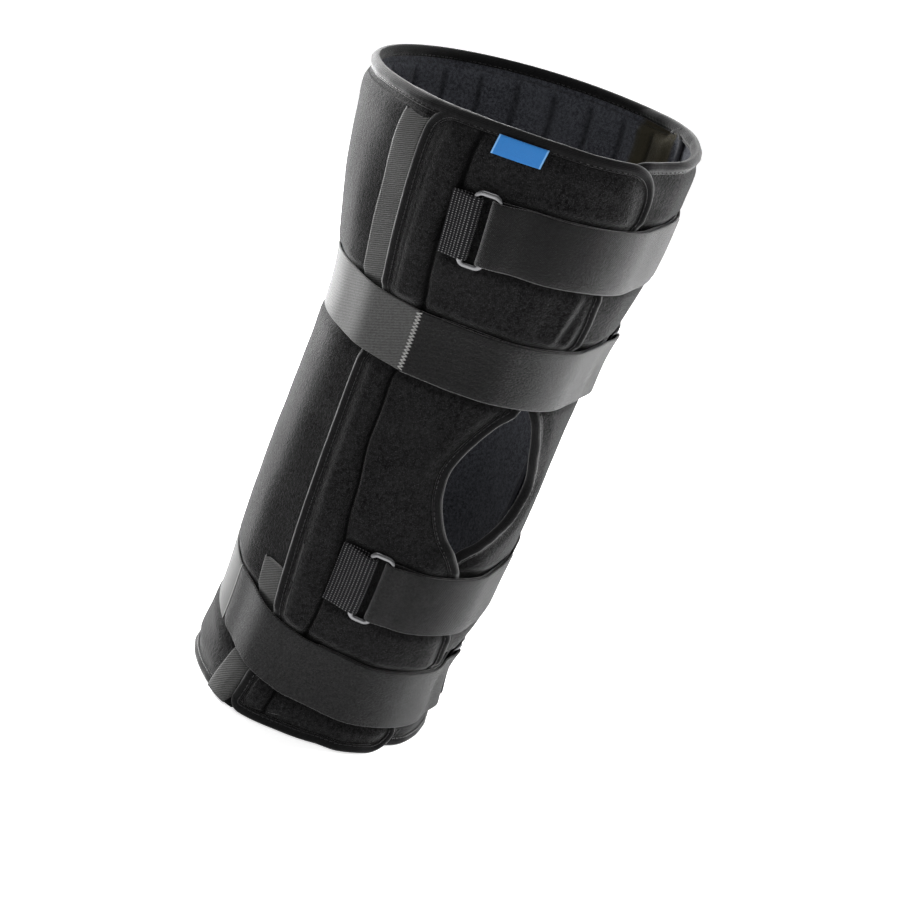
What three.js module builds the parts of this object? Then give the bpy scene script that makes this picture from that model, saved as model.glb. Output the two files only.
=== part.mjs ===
// A three-panel knee immobiliser: a padded sleeve, open down its whole length for the leg, that stands
// on its bottom rim. The front, with the opening for the kneecap, faces -Y and the thigh end is up.
import * as THREE from 'three';

// Overall form, in millimetres.
const height = 406;              // floor to the highest point of the top rim
const radius = 83.3;             // mean outside radius at the knee
const rimSlope = 0.16;           // rise of the top rim for each millimetre towards +X
const frontDip = 5;              // how far the top rim dips at the front
const dipWidth = 45;             // degrees to each side over which the dip fades

// Padded panels and the tape that binds their edges.
const panelThickness = 5.5;
const pinchedThickness = 2.4;    // padding pressed flat inside the tape
const tapeThickness = 1;
const tapeReach = 7.2;           // how far the tape laps onto the panel, on both sides
const tapeClearance = 0.35;
const pinchRun = 2.6;            // width over which the padding swells to its full thickness
const overlapClearance = 0.9;    // between a panel and the panel that it lies on

// Places round the sleeve, in degrees from the front; the right side has the plus sign.
const backPanelEdge = 64;        // under the side panels
const grooveHalf = 2.5;          // half the width of the step beside the stay pocket
const climbRun = 12;             // degrees over which the left flap climbs onto the right one
const climbEnd = 8;              // degrees before the right flap's edge by which it has climbed

// Corner radii of the panels.
const topFrontRadius = 28;
const bottomFrontRadius = 13;
const backRadius = 11;

// Straps, rings and keepers.
const strapWidth = 38.5;
const strapThickness = 1.5;
const strapClearance = 1.0;      // between a strap and what it lies on
const foldClearance = 0.6;       // between two layers of one strap
const bridgeSlope = 0.4;         // steepest way that a taut strap leaves a raised edge
const wire = 3.2;                // wire of the metal rings
const ringWidth = 16;
const foldRoom = 0.4;            // between a strap's fold and the ring's bar
const ringClearance = 1.2;       // between a strap's edges and the ring's ends
const ringCorner = 2.8;
const keeperThickness = 1.6;
const keeperWidth = 35.5;

// Hook tabs on the side panels, and the woven label.
const tabThickness = 1.6;
const tabClearance = 0.4;
const tabGap = 0.9;              // between a hook tab and the taped edge that it comes from
const labelWidth = 27;
const labelHeight = 11;
const labelThickness = 0.8;
const labelBelowRim = 7.5;
const labelAngle = -42;

// Horizontal sections: share of the rim height, then half width, half depth and centre as shares of
// the radius, where right is towards +X and back towards +Y.
const sections = [
  { at: 0.00, wide: 0.942, deep: 0.937, right: -0.138, back: -0.072 },
  { at: 0.12, wide: 0.936, deep: 0.943, right: -0.066, back: -0.036 },
  { at: 0.25, wide: 0.984, deep: 1.014, right: 0.006, back: -0.010 },
  { at: 0.39, wide: 0.996, deep: 1.004, right: 0.042, back: 0.008 },
  { at: 0.53, wide: 0.996, deep: 1.006, right: 0.072, back: 0.024 },
  { at: 0.675, wide: 1.009, deep: 1.044, right: 0.090, back: 0.036 },
  { at: 0.82, wide: 1.122, deep: 1.176, right: 0.066, back: 0.044 },
  { at: 0.94, wide: 1.158, deep: 1.213, right: 0.024, back: 0.050 },
  { at: 1.00, wide: 1.116, deep: 1.255, right: 0.000, back: 0.053 },
];

// Panel edges: share of the rim height and degrees from the front, measured towards each panel's side
// for the back edge and the pocket groove, and towards +X for the front edges.
const backEdge = [
  { at: 0.00, angle: 75.0 }, { at: 0.06, angle: 72.5 }, { at: 0.14, angle: 72.0 },
  { at: 0.22, angle: 74.6 }, { at: 0.32, angle: 76.7 }, { at: 0.60, angle: 79.0 },
  { at: 0.77, angle: 77.0 }, { at: 1.00, angle: 73.5 },
];
const grooveLine = [
  { at: 0.00, angle: 56.0 }, { at: 0.05, angle: 54.8 }, { at: 0.16, angle: 54.4 },
  { at: 0.27, angle: 56.8 }, { at: 0.42, angle: 59.2 }, { at: 0.51, angle: 61.4 },
  { at: 0.71, angle: 59.6 }, { at: 0.77, angle: 61.2 }, { at: 0.92, angle: 57.2 },
  { at: 1.00, angle: 57.8 },
];
const leftFrontEdge = [
  { at: 0.00, angle: 9.0 }, { at: 0.05, angle: 11.5 }, { at: 0.10, angle: 14.0 },
  { at: 0.15, angle: 13.0 }, { at: 0.205, angle: 8.3 }, { at: 0.28, angle: 2.0 },
  { at: 0.318, angle: -2.9 }, { at: 0.358, angle: -10.2 }, { at: 0.384, angle: -16.2 },
  { at: 0.418, angle: -21.6 }, { at: 0.451, angle: -24.6 }, { at: 0.489, angle: -25.0 },
  { at: 0.538, angle: -19.4 }, { at: 0.586, angle: -10.6 }, { at: 0.615, angle: -5.5 },
  { at: 0.65, angle: 0.0 }, { at: 0.70, angle: 3.5 }, { at: 0.74, angle: 3.7 },
  { at: 0.79, angle: 1.5 }, { at: 0.84, angle: 2.5 }, { at: 0.91, angle: 5.0 },
  { at: 1.00, angle: 5.0 },
];
const rightFrontEdge = [
  { at: 0.00, angle: -12.0 }, { at: 0.27, angle: -14.0 }, { at: 0.31, angle: -11.0 },
  { at: 0.35, angle: -5.7 }, { at: 0.378, angle: 3.6 }, { at: 0.407, angle: 13.7 },
  { at: 0.44, angle: 19.0 }, { at: 0.465, angle: 19.4 }, { at: 0.507, angle: 13.4 },
  { at: 0.555, angle: 6.4 }, { at: 0.588, angle: 0.3 }, { at: 0.62, angle: -6.0 },
  { at: 0.66, angle: -12.0 }, { at: 0.71, angle: -14.0 }, { at: 1.00, angle: -14.0 },
];

// Straps: share of the rim height of the middle line and its rise towards the back, the side that
// carries the keeper and ring, the ring's place, the sewn start of the under layer, the end of the
// dark webbing and the end of the hook tab sewn to it, all in degrees from the front.
const straps = [
  { name: 'thigh', at: 0.855, rise: 0.08, ring: -45.0, sewn: 55.0, end: 38.5, tabEnd: 92.0 },
  { name: 'upper_knee', at: 0.668, rise: 0.13, ring: 46.0, sewn: -52.0, end: -60.0, tabEnd: -150.0 },
  { name: 'lower_knee', at: 0.267, rise: 0.03, ring: -40.5, sewn: 52.0, end: 38.5, tabEnd: 92.0 },
  { name: 'calf', at: 0.120, rise: 0.18, ring: 40.0, sewn: -48.0, end: -102.0, tabEnd: -150.0 },
];

// Hook tabs at each side panel's back edge: shares of the rim height, and degrees that they show.
const hookTabs = [
  { name: 'upper', low: 0.675, high: 0.972, showLow: 12.5, showHigh: 10.0 },
  { name: 'lower', low: 0.004, high: 0.238, showLow: 13.5, showHigh: 13.0 },
];

const colours = {
  fabric: { color: 0x1b1b1d, roughness: 0.95, metalness: 0 },
  tape: { color: 0x222224, roughness: 0.9, metalness: 0 },
  webbing: { color: 0x2c2c2e, roughness: 0.85, metalness: 0 },
  hook: { color: 0x4a4a4b, roughness: 0.8, metalness: 0 },
  elastic: { color: 0x333335, roughness: 0.85, metalness: 0 },
  metal: { color: 0x8c8c8e, roughness: 0.3, metalness: 1 },
  label: { color: 0x0b74bd, roughness: 0.7, metalness: 0 },
};

const degrees = Math.PI / 180;
const clamp = (x, low, high) => Math.min(Math.max(x, low), high);
const mix = (a, b, t) => a + (b - a) * t;
const smooth = (t) => {
  const s = clamp(t, 0, 1);
  return s * s * (3 - 2 * s);
};

// Value of one column at a height share, on a smooth curve through the rows (cubic, with the slope
// at a row taken from its two neighbours).
function lookUp(rows, at, column) {
  let i = 0;
  while (i < rows.length - 2 && at > rows[i + 1].at) i += 1;
  const slope = (k) => {
    const a = rows[Math.max(k - 1, 0)];
    const b = rows[Math.min(k + 1, rows.length - 1)];
    return (b[column] - a[column]) / (b.at - a.at);
  };
  const span = rows[i + 1].at - rows[i].at;
  const t = clamp((at - rows[i].at) / span, 0, 1);
  const t2 = t * t;
  const t3 = t2 * t;
  return rows[i][column] * (2 * t3 - 3 * t2 + 1) + slope(i) * span * (t3 - 2 * t2 + t)
    + rows[i + 1][column] * (3 * t2 - 2 * t3) + slope(i + 1) * span * (t3 - t2);
}

// The rim's height over the origin is set so that its highest point, at +X, stands at the height.
const lastSection = sections[sections.length - 1];
const rimHeight = height - rimSlope * radius * (lastSection.right + lastSection.wide);

// A place on the sleeve: degrees from the front, level (its height under the untilted rim) and the
// distance outside the first layer's outer face.
function place(angle, level, out) {
  const at = level / rimHeight;
  const a = lookUp(sections, at, 'wide') * radius;
  const b = lookUp(sections, at, 'deep') * radius;
  const s = Math.sin(angle * degrees);
  const c = Math.cos(angle * degrees);
  const normal = Math.hypot(s / a, c / b);
  const x = lookUp(sections, at, 'right') * radius + a * s + (out * s) / (a * normal);
  const y = lookUp(sections, at, 'back') * radius - b * c - (out * c) / (b * normal);
  const turn = Math.abs(((angle + 180) % 360 + 360) % 360 - 180) / dipWidth;
  const dip = frontDip * Math.exp(-turn * turn);
  return [x, y, at * (rimHeight + rimSlope * x - dip)];
}

// Degrees that one millimetre takes round the sleeve at a level.
function perMillimetre(level) {
  const at = level / rimHeight;
  const mean = (lookUp(sections, at, 'wide') + lookUp(sections, at, 'deep')) / 2;
  return 1 / (mean * radius * degrees);
}

// How far each panel is lifted by the panels under it.
const liftHeight = panelThickness + overlapClearance;
const pocketLift = (angle, level) => {
  const groove = lookUp(grooveLine, level / rimHeight, 'angle');
  return liftHeight * smooth((Math.abs(angle) - groove + grooveHalf) / (2 * grooveHalf));
};
const flapLift = (angle, level) => {
  const edge = lookUp(rightFrontEdge, level / rimHeight, 'angle');
  return liftHeight * smooth((angle - edge + climbEnd + climbRun) / climbRun);
};
const lifts = {
  back: () => 0,
  right: (angle, level) => (angle > 0 ? pocketLift(angle, level) : 0),
  left: (angle, level) => (angle < -40 ? pocketLift(angle, level) : flapLift(angle, level)),
};

// Height of the outermost fabric at a place, for what lies on it.
function skin(angle, level) {
  const at = level / rimHeight;
  const back = lookUp(backEdge, at, 'angle');
  if (angle >= -back && angle <= lookUp(leftFrontEdge, at, 'angle')) return lifts.left(angle, level);
  if (angle > 0 && angle <= back) return lifts.right(angle, level);
  const beyond = Math.abs(angle) - back;
  for (const tab of hookTabs) {
    if (at > tab.low - 0.02 && at < tab.high + 0.02 && beyond < tab.showLow + 2) {
      return tabClearance + tabThickness;
    }
  }
  return 0;
}

// A mesh from a list of closed rings of places, joined one to the next, with flat caps or closed
// round on itself. Its faces are turned to point outwards.
function meshFrom(name, finish, positions, triangles) {
  let volume = 0;
  const p = (i) => new THREE.Vector3(positions[3 * i], positions[3 * i + 1], positions[3 * i + 2]);
  for (const [a, b, c] of triangles) volume += p(a).dot(p(b).cross(p(c)));
  const index = volume < 0 ? triangles.map(([a, b, c]) => [a, c, b]) : triangles;
  const geometry = new THREE.BufferGeometry();
  geometry.setAttribute('position', new THREE.Float32BufferAttribute(positions, 3));
  geometry.setIndex(index.flat());
  geometry.computeVertexNormals();
  const mesh = new THREE.Mesh(geometry, new THREE.MeshStandardMaterial({ ...finish }));
  mesh.name = name;
  return mesh;
}

function sweep(name, finish, rings, closed) {
  const size = rings[0].length;
  const positions = rings.flat(2);
  const triangles = [];
  const last = closed ? rings.length : rings.length - 1;
  for (let i = 0; i < last; i += 1) {
    const j = (i + 1) % rings.length;
    for (let k = 0; k < size; k += 1) {
      const n = (k + 1) % size;
      triangles.push([i * size + k, i * size + n, j * size + n]);
      triangles.push([i * size + k, j * size + n, j * size + k]);
    }
  }
  if (!closed) {
    const end = (rings.length - 1) * size;
    for (let k = 1; k < size - 1; k += 1) {
      triangles.push([0, k + 1, k]);
      triangles.push([end, end + k, end + k + 1]);
    }
  }
  return meshFrom(name, finish, positions, triangles);
}

// The outline of a panel as { angle, level } points, counter-clockwise seen from outside, starting in
// the middle of the low corner at its first edge. Sides are curves of angle over level; the corners
// are quarter circles of their own radii with a point at the middle and at each end.
function outline(first, second, radii, columns, rows) {
  const points = [];
  const corner = (edge, sign, level, r, down) => {
    const centre = level + (down ? r : -r);
    const turn = perMillimetre(level) * r * sign;
    const angle = edge(centre) + turn;
    return (t) => ({
      angle: angle - turn * Math.cos(t * 90 * degrees),
      level: centre + (down ? -r : r) * Math.sin(t * 90 * degrees),
    });
  };
  const top = rimHeight;
  const lowFirst = corner(first, 1, 0, radii.lowFirst, true);
  const lowSecond = corner(second, -1, 0, radii.lowSecond, true);
  const highFirst = corner(first, 1, top, radii.highFirst, false);
  const highSecond = corner(second, -1, top, radii.highSecond, false);
  points.push(lowFirst(0.5), lowFirst(1));
  for (const angle of columns(0)) points.push({ angle, level: 0 });
  points.push(lowSecond(1), lowSecond(0.5), lowSecond(0));
  for (const at of rows) points.push({ angle: second(at * top), level: at * top });
  points.push(highSecond(0), highSecond(0.5), highSecond(1));
  for (const angle of columns(top).reverse()) points.push({ angle, level: top });
  points.push(highFirst(1), highFirst(0.5), highFirst(0));
  for (const at of [...rows].reverse()) points.push({ angle: first(at * top), level: at * top });
  points.push(lowFirst(0));
  return points;
}

// The outline moved inwards by a distance, at right angles to itself.
function inset(points, distance) {
  return points.map((p, i) => {
    const before = points[(i + points.length - 1) % points.length];
    const after = points[(i + 1) % points.length];
    const scale = perMillimetre(p.level);
    const inX = [(p.angle - before.angle) / scale, (after.angle - p.angle) / scale];
    const inY = [p.level - before.level, after.level - p.level];
    const length = [0, 1].map((k) => Math.hypot(inX[k], inY[k]));
    const along = [inX[0] / length[0] + inX[1] / length[1], inY[0] / length[0] + inY[1] / length[1]];
    const half = Math.hypot(along[0], along[1]) / 2;
    const reach = distance / Math.max(half, 0.7) / Math.hypot(along[0], along[1]);
    return { angle: p.angle - along[1] * reach * scale, level: p.level + along[0] * reach };
  });
}

// A padded panel: rings along the bound edge, where the padding is pinched, and a core of rows and
// columns. The columns between the two edges are the ones that the outline was made with.
function paddedPanel(name, points, across, lift, columnAt) {
  const edge = tapeClearance + tapeThickness;
  const rings = [inset(points, edge), inset(points, edge + tapeReach), inset(points, edge + tapeReach + pinchRun)];
  const up = points.length / 2 - across;
  const inner = rings[2];
  const core = [];
  for (let j = 0; j <= up; j += 1) {
    const row = [];
    const first = inner[(points.length - j) % points.length];
    const second = inner[across + j];
    for (let i = 0; i <= across; i += 1) {
      if (j === 0) row.push(inner[i]);
      else if (j === up) row.push(inner[2 * across + up - i]);
      else if (i === 0) row.push(first);
      else if (i === across) row.push(second);
      else {
        const level = mix(first.level, second.level, i / across);
        row.push({ angle: columnAt(level, first.angle, second.angle, i), level });
      }
    }
    core.push(row);
  }
  const thicknesses = [pinchedThickness, pinchedThickness, panelThickness];
  const positions = [];
  const vertex = (p, thickness, side) => {
    const middle = lift(p.angle, p.level) - panelThickness / 2;
    positions.push(...place(p.angle, p.level, middle + (side * thickness) / 2));
    return positions.length / 3 - 1;
  };
  const triangles = [];
  const faces = [1, -1].map((side) => {
    const turned = (a, b, c) => triangles.push(side > 0 ? [a, b, c] : [a, c, b]);
    const loops = rings.map((ring, k) => ring.map((p) => vertex(p, thicknesses[k], side)));
    for (let k = 0; k < 2; k += 1) {
      for (let i = 0; i < points.length; i += 1) {
        const n = (i + 1) % points.length;
        const [a, b, c, d] = [loops[k][i], loops[k][n], loops[k + 1][n], loops[k + 1][i]];
        turned(a, b, side > 0 ? c : d);
        turned(side > 0 ? a : b, c, d);
      }
    }
    const grid = core.map((row, j) => row.map((p, i) => {
      if (j === 0) return loops[2][i];
      if (j === up) return loops[2][2 * across + up - i];
      if (i === 0) return loops[2][(points.length - j) % points.length];
      if (i === across) return loops[2][across + j];
      return vertex(p, panelThickness, side);
    }));
    for (let j = 0; j < up; j += 1) {
      for (let i = 0; i < across; i += 1) {
        turned(grid[j][i], grid[j][i + 1], grid[j + 1][i + 1]);
        turned(grid[j][i], grid[j + 1][i + 1], grid[j + 1][i]);
      }
    }
    return loops[0];
  });
  for (let i = 0; i < points.length; i += 1) {
    const n = (i + 1) % points.length;
    triangles.push([faces[0][n], faces[0][i], faces[1][i]]);
    triangles.push([faces[0][n], faces[1][i], faces[1][n]]);
  }
  return meshFrom(name, colours.fabric, positions, triangles);
}

// The binding tape of a panel: a channel folded over the pinched edge, all the way round. Its legs
// run parallel to the pinched padding, and its fold lies outside the padding's edge.
function bindingTape(name, points, lift) {
  const margin = tapeClearance + tapeThickness;
  const near = inset(points, margin);
  const far = inset(points, margin + tapeReach);
  const inside = pinchedThickness / 2 + tapeClearance;
  const outside = inside + tapeThickness;
  const rings = points.map((point, i) => {
    const at = (share, out) => {
      const [from, to] = [near[i], far[i]].map((p) => (
        place(p.angle, p.level, lift(p.angle, p.level) - panelThickness / 2 + out)));
      const spot = from.map((value, k) => mix(value, to[k], share));
      return point.level === 0 && share === fold ? [spot[0], spot[1], 0] : spot;
    };
    const fold = -margin / tapeReach;
    const lap = 1 - tapeClearance / tapeReach;
    const mouth = -tapeClearance / tapeReach;
    return [
      at(lap, outside), at(fold, outside), at(fold, -outside), at(lap, -outside),
      at(lap, -inside), at(mouth, -inside), at(mouth, inside), at(lap, inside),
    ];
  });
  return sweep(name, colours.tape, rings, true);
}

const sideRows = [0.08, 0.16, 0.24, 0.30, 0.34, 0.375, 0.41, 0.445, 0.48, 0.515, 0.545, 0.568, 0.588,
  0.61, 0.64, 0.685, 0.74, 0.80, 0.86];
const backRows = [0.06, 0.12, 0.185, 0.25, 0.39, 0.50, 0.58, 0.63, 0.675, 0.715, 0.755, 0.80, 0.86];

// A side panel with its tape. Seen from outside, the left panel runs from its back edge to its front
// edge and the right panel from its front edge to its back edge.
function sidePanel(name, side, frontEdge, lift) {
  const front = (level) => lookUp(frontEdge, level / rimHeight, 'angle');
  const back = (level) => side * lookUp(backEdge, level / rimHeight, 'angle');
  const groove = (level) => side * lookUp(grooveLine, level / rimHeight, 'angle');
  const spread = 5;
  const columns = (level) => {
    const r = level > 0 ? topFrontRadius : bottomFrontRadius;
    const near = front(level) + side * r * perMillimetre(level);
    const step = groove(level) - side * grooveHalf;
    const list = [groove(level) + side * grooveHalf, step];
    for (let i = 1; i < spread; i += 1) list.push(mix(step, near, i / spread));
    return side < 0 ? list : list.reverse();
  };
  const across = spread + 5;
  const columnAt = (level, first, second, i) => {
    const fromBack = side < 0 ? i : across - i;
    const backSide = side < 0 ? first : second;
    const frontSide = side < 0 ? second : first;
    const high = groove(level) + side * grooveHalf;
    const low = groove(level) - side * grooveHalf;
    if (fromBack === 1) return mix(backSide, high, 0.5);
    if (fromBack === 2) return high;
    return mix(low, frontSide, (fromBack - 3) / (across - 3));
  };
  const radii = side < 0
    ? { lowFirst: backRadius, lowSecond: bottomFrontRadius, highFirst: backRadius, highSecond: topFrontRadius }
    : { lowFirst: bottomFrontRadius, lowSecond: backRadius, highFirst: topFrontRadius, highSecond: backRadius };
  const points = outline(side < 0 ? back : front, side < 0 ? front : back, radii, columns, sideRows);
  return [
    paddedPanel(`${name}_panel`, points, across, lift, columnAt),
    bindingTape(`${name}_panel_binding`, points, lift),
  ];
}

function backPanel() {
  const first = () => backPanelEdge;
  const second = () => 360 - backPanelEdge;
  const spread = 16;
  const columns = (level) => {
    const turn = backRadius * perMillimetre(level);
    return Array.from({ length: spread - 1 }, (_, i) => (
      mix(backPanelEdge + turn, 360 - backPanelEdge - turn, (i + 1) / spread)));
  };
  const across = spread + 2;
  const columnAt = (level, a, b, i) => mix(a, b, i / across);
  const radii = { lowFirst: backRadius, lowSecond: backRadius, highFirst: backRadius, highSecond: backRadius };
  const points = outline(first, second, radii, columns, backRows);
  return [
    paddedPanel('back_panel', points, across, lifts.back, columnAt),
    bindingTape('back_panel_binding', points, lifts.back),
  ];
}

// The middle line of a strap: the level at each angle, tilted with the rim and towards the back.
function strapLevel(strap, angle) {
  const level = strap.at * rimHeight;
  const at = strap.at;
  const depth = lookUp(sections, at, 'deep') * radius;
  const y = lookUp(sections, at, 'back') * radius - depth * Math.cos(angle * degrees);
  return level + strap.rise * y;
}

// How high a taut strap lies: over the fabric under its whole width, and bridging down from raised
// edges no steeper than the bridge slope.
function strapBed(strap, width) {
  const step = 2;
  const bedSpread = 5;
  const raw = [];
  for (let angle = -180; angle < 180; angle += step) {
    const middle = strapLevel(strap, angle);
    const across = [-0.5, -0.25, 0, 0.25, 0.5].map((t) => skin(angle, middle + t * width));
    raw.push(Math.max(...across));
  }
  return (angle) => {
    const millimetres = 1 / perMillimetre(strap.at * rimHeight);
    let high = 0;
    raw.forEach((value, i) => {
      const gap = Math.max(Math.abs(-180 + i * step - angle) - bedSpread, 0) * millimetres;
      high = Math.max(high, value - bridgeSlope * gap);
    });
    return high + strapClearance;
  };
}

// A flat ribbon along stations { angle, out } of its middle surface: width across, thickness through.
function ribbon(name, finish, strap, stations, width, thickness) {
  const turn = 1 / perMillimetre(strap.at * rimHeight);
  const rings = stations.map((s, i) => {
    const a = stations[Math.max(i - 1, 0)];
    const b = stations[Math.min(i + 1, stations.length - 1)];
    const dx = (b.angle - a.angle) * turn;
    const dy = b.out - a.out;
    const length = Math.hypot(dx, dy);
    const side = [(-dy / length) * (thickness / 2) / turn, (dx / length) * (thickness / 2)];
    const level = strapLevel(strap, s.angle);
    return [[1, 1], [1, 0], [1, -1], [-1, -1], [-1, 0], [-1, 1]].map(([face, end]) => (
      place(s.angle + face * side[0], level + (end * width) / 2, s.out + face * side[1])));
  });
  return sweep(name, finish, rings, false);
}

// Stations from one angle to another: both ends, and the whole steps between them, which are the
// same for every layer of a strap.
function stationsBetween(from, to, heightAt, step = 7.5) {
  const angles = [from];
  const away = Math.sign(to - from);
  const nearest = step / 4;
  for (let k = Math.ceil((away * from) / step); k * step < away * to - nearest; k += 1) {
    if (k * step > away * from + nearest) angles.push(away * k * step);
  }
  angles.push(to);
  return angles.map((angle) => ({ angle, out: heightAt(angle) }));
}

// Stations that also stop at a place on the way, such as the end of the layer underneath.
function stationsPast(from, stop, to, heightAt) {
  if ((stop - from) * (stop - to) >= 0) return stationsBetween(from, to, heightAt);
  return [...stationsBetween(from, stop, heightAt), ...stationsBetween(stop, to, heightAt).slice(1)];
}

// Half a turn of stations round a ring's bar.
function foldRound(angle, out, reach, sign, turn, steps = 6) {
  return Array.from({ length: steps - 1 }, (_, i) => {
    const t = ((i + 1) / steps) * 180 * degrees;
    return { angle: angle + sign * reach * Math.sin(t) * turn, out: out - reach * Math.cos(t) };
  });
}

// One fastening: the keeper sewn beside the groove, its ring, the strap that passes through the ring
// and folds back over itself, and the hook tab that continues the strap's end.
function fastening(strap) {
  const bed = strapBed(strap, strapWidth);
  const turn = perMillimetre(strap.at * rimHeight);
  const side = Math.sign(strap.ring);
  const barFromMiddle = (ringWidth - wire) / 2;
  const strapBar = strap.ring - side * barFromMiddle * turn;
  const keeperBar = strap.ring + side * barFromMiddle * turn;
  const fold = wire / 2 + foldRoom + strapThickness / 2;
  const keeperFold = wire / 2 + foldRoom + keeperThickness / 2;
  const barOut = Math.max(bed(strapBar), bed(keeperBar)) + strapThickness / 2 + fold;
  const settle = 14;
  const dropStart = 4;
  const dropRun = 9;
  const under = (angle) => {
    const near = smooth(1 - Math.abs(angle - strapBar) / settle);
    return mix(bed(angle) + strapThickness / 2, barOut - fold, near);
  };
  const stacked = strapThickness + foldClearance;
  const over = (angle) => {
    const past = smooth((side * (strap.sewn - angle) - dropStart) / dropRun);
    const near = smooth(1 - Math.abs(angle - strapBar) / settle);
    const flat = mix(under(angle) + stacked, bed(angle) + strapThickness / 2, past);
    return mix(flat, barOut + fold, near);
  };
  const path = [
    ...stationsBetween(strap.sewn, strapBar, under),
    ...foldRound(strapBar, barOut, fold, side, turn),
    ...stationsPast(strapBar, strap.sewn, strap.end, over),
  ];
  const pieces = [ribbon(`${strap.name}_strap`, colours.webbing, strap, path, strapWidth, strapThickness)];

  const away = Math.sign(strap.tabEnd - strap.end);
  const tabStart = strap.end + away * tabClearance * turn;
  const tabPath = stationsPast(tabStart, strap.sewn, strap.tabEnd, over);
  pieces.push(ribbon(`${strap.name}_strap_hook_tab`, colours.hook, strap, tabPath, strapWidth, strapThickness));

  const groove = side * lookUp(grooveLine, strap.at, 'angle');
  const keeperStart = groove - side * (grooveHalf + 0.8);
  const keeperLow = (angle) => mix(bed(angle) + keeperThickness / 2, barOut - keeperFold,
    smooth((angle - keeperStart) / (keeperBar - keeperStart)));
  const keeperHigh = (angle) => mix(bed(angle) + keeperThickness * 1.5 + foldClearance, barOut + keeperFold,
    smooth((angle - keeperStart) / (keeperBar - keeperStart)));
  const keeperPath = [
    ...stationsBetween(keeperStart, keeperBar, keeperLow, 4),
    ...foldRound(keeperBar, barOut, keeperFold, -side, turn),
    ...stationsBetween(keeperBar, keeperStart, keeperHigh, 4),
  ];
  pieces.push(ribbon(`${strap.name}_strap_keeper`, colours.elastic, strap, keeperPath, keeperWidth,
    keeperThickness));
  pieces.push(metalRing(`${strap.name}_strap_ring`, strap, barOut));
  return pieces;
}

// A rectangular wire ring with rounded corners, lying along the sleeve round one angle.
function metalRing(name, strap, out) {
  const long = strapWidth + 2 * ringClearance + 2 * wire;
  const halfX = (ringWidth - wire) / 2 - ringCorner;
  const halfY = (long - wire) / 2 - ringCorner;
  const turn = perMillimetre(strap.at * rimHeight);
  const middle = [];
  [[1, 1, 0], [-1, 1, 90], [-1, -1, 180], [1, -1, 270]].forEach(([sx, sy, start]) => {
    for (let i = 0; i <= 2; i += 1) {
      const t = (start + i * 45) * degrees;
      middle.push({
        x: sx * halfX + ringCorner * Math.cos(t), y: sy * halfY + ringCorner * Math.sin(t),
        nx: Math.cos(t), ny: Math.sin(t),
      });
    }
    if (sx * sy < 0) middle.push({ x: sx * (halfX + ringCorner), y: 0, nx: sx, ny: 0 });
  });
  const rings = middle.map((m) => Array.from({ length: 6 }, (_, k) => {
    const t = k * 60 * degrees;
    const x = m.x + m.nx * (wire / 2) * Math.cos(t);
    const y = m.y + m.ny * (wire / 2) * Math.cos(t);
    const angle = strap.ring + x * turn;
    return place(angle, strapLevel(strap, angle) + y, out + (wire / 2) * Math.sin(t));
  }));
  return sweep(name, colours.metal, rings, true);
}

// A hook tab that reaches back from a side panel's edge, flat on the back panel.
function hookTab(name, side, tab) {
  const steps = 7;
  const gap = tabGap * perMillimetre(tab.low * rimHeight);
  const rings = Array.from({ length: steps + 1 }, (_, i) => {
    const at = mix(tab.low, tab.high, i / steps);
    const from = side * (lookUp(backEdge, at, 'angle') + gap);
    const to = from + side * mix(tab.showLow, tab.showHigh, i / steps);
    const level = at * rimHeight;
    return [
      place(from, level, tabClearance), place(mix(from, to, 0.5), level, tabClearance),
      place(to, level, tabClearance), place(to, level, tabClearance + tabThickness),
      place(mix(from, to, 0.5), level, tabClearance + tabThickness),
      place(from, level, tabClearance + tabThickness),
    ];
  });
  return sweep(name, colours.hook, rings, false);
}

function label() {
  const level = rimHeight - labelBelowRim - labelHeight / 2;
  const turn = perMillimetre(level);
  const steps = 4;
  const rings = Array.from({ length: steps + 1 }, (_, i) => {
    const angle = labelAngle + mix(-0.5, 0.5, i / steps) * labelWidth * turn;
    const bed = Math.max(skin(angle, level), skin(angle + 5, level)) + tabClearance;
    return [[-1, 0], [1, 0], [1, 1], [-1, 1]].map(([up, out]) => (
      place(angle, level + (up * labelHeight) / 2, bed + out * labelThickness)));
  });
  return sweep('woven_label', colours.label, rings, false);
}

const immobiliser = new THREE.Group();
immobiliser.add(...backPanel());
immobiliser.add(...sidePanel('left', -1, leftFrontEdge, lifts.left));
immobiliser.add(...sidePanel('right', 1, rightFrontEdge, lifts.right));
for (const strap of straps) immobiliser.add(...fastening(strap));
for (const [sideName, side] of [['left', -1], ['right', 1]]) {
  for (const tab of hookTabs) immobiliser.add(hookTab(`${sideName}_${tab.name}_hook_tab`, side, tab));
}
immobiliser.add(label());

// The origin is under the middle of the whole, on the surface that it stands on.
const middle = new THREE.Box3().setFromObject(immobiliser).getCenter(new THREE.Vector3());
immobiliser.position.set(-middle.x, -middle.y, 0);

export default immobiliser;
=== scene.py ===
# A three-panel knee immobiliser that stands on its bottom rim, dressed piece by piece over its solids.
import math

import bpy
import numpy as np
from mathutils import Matrix, Vector


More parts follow.
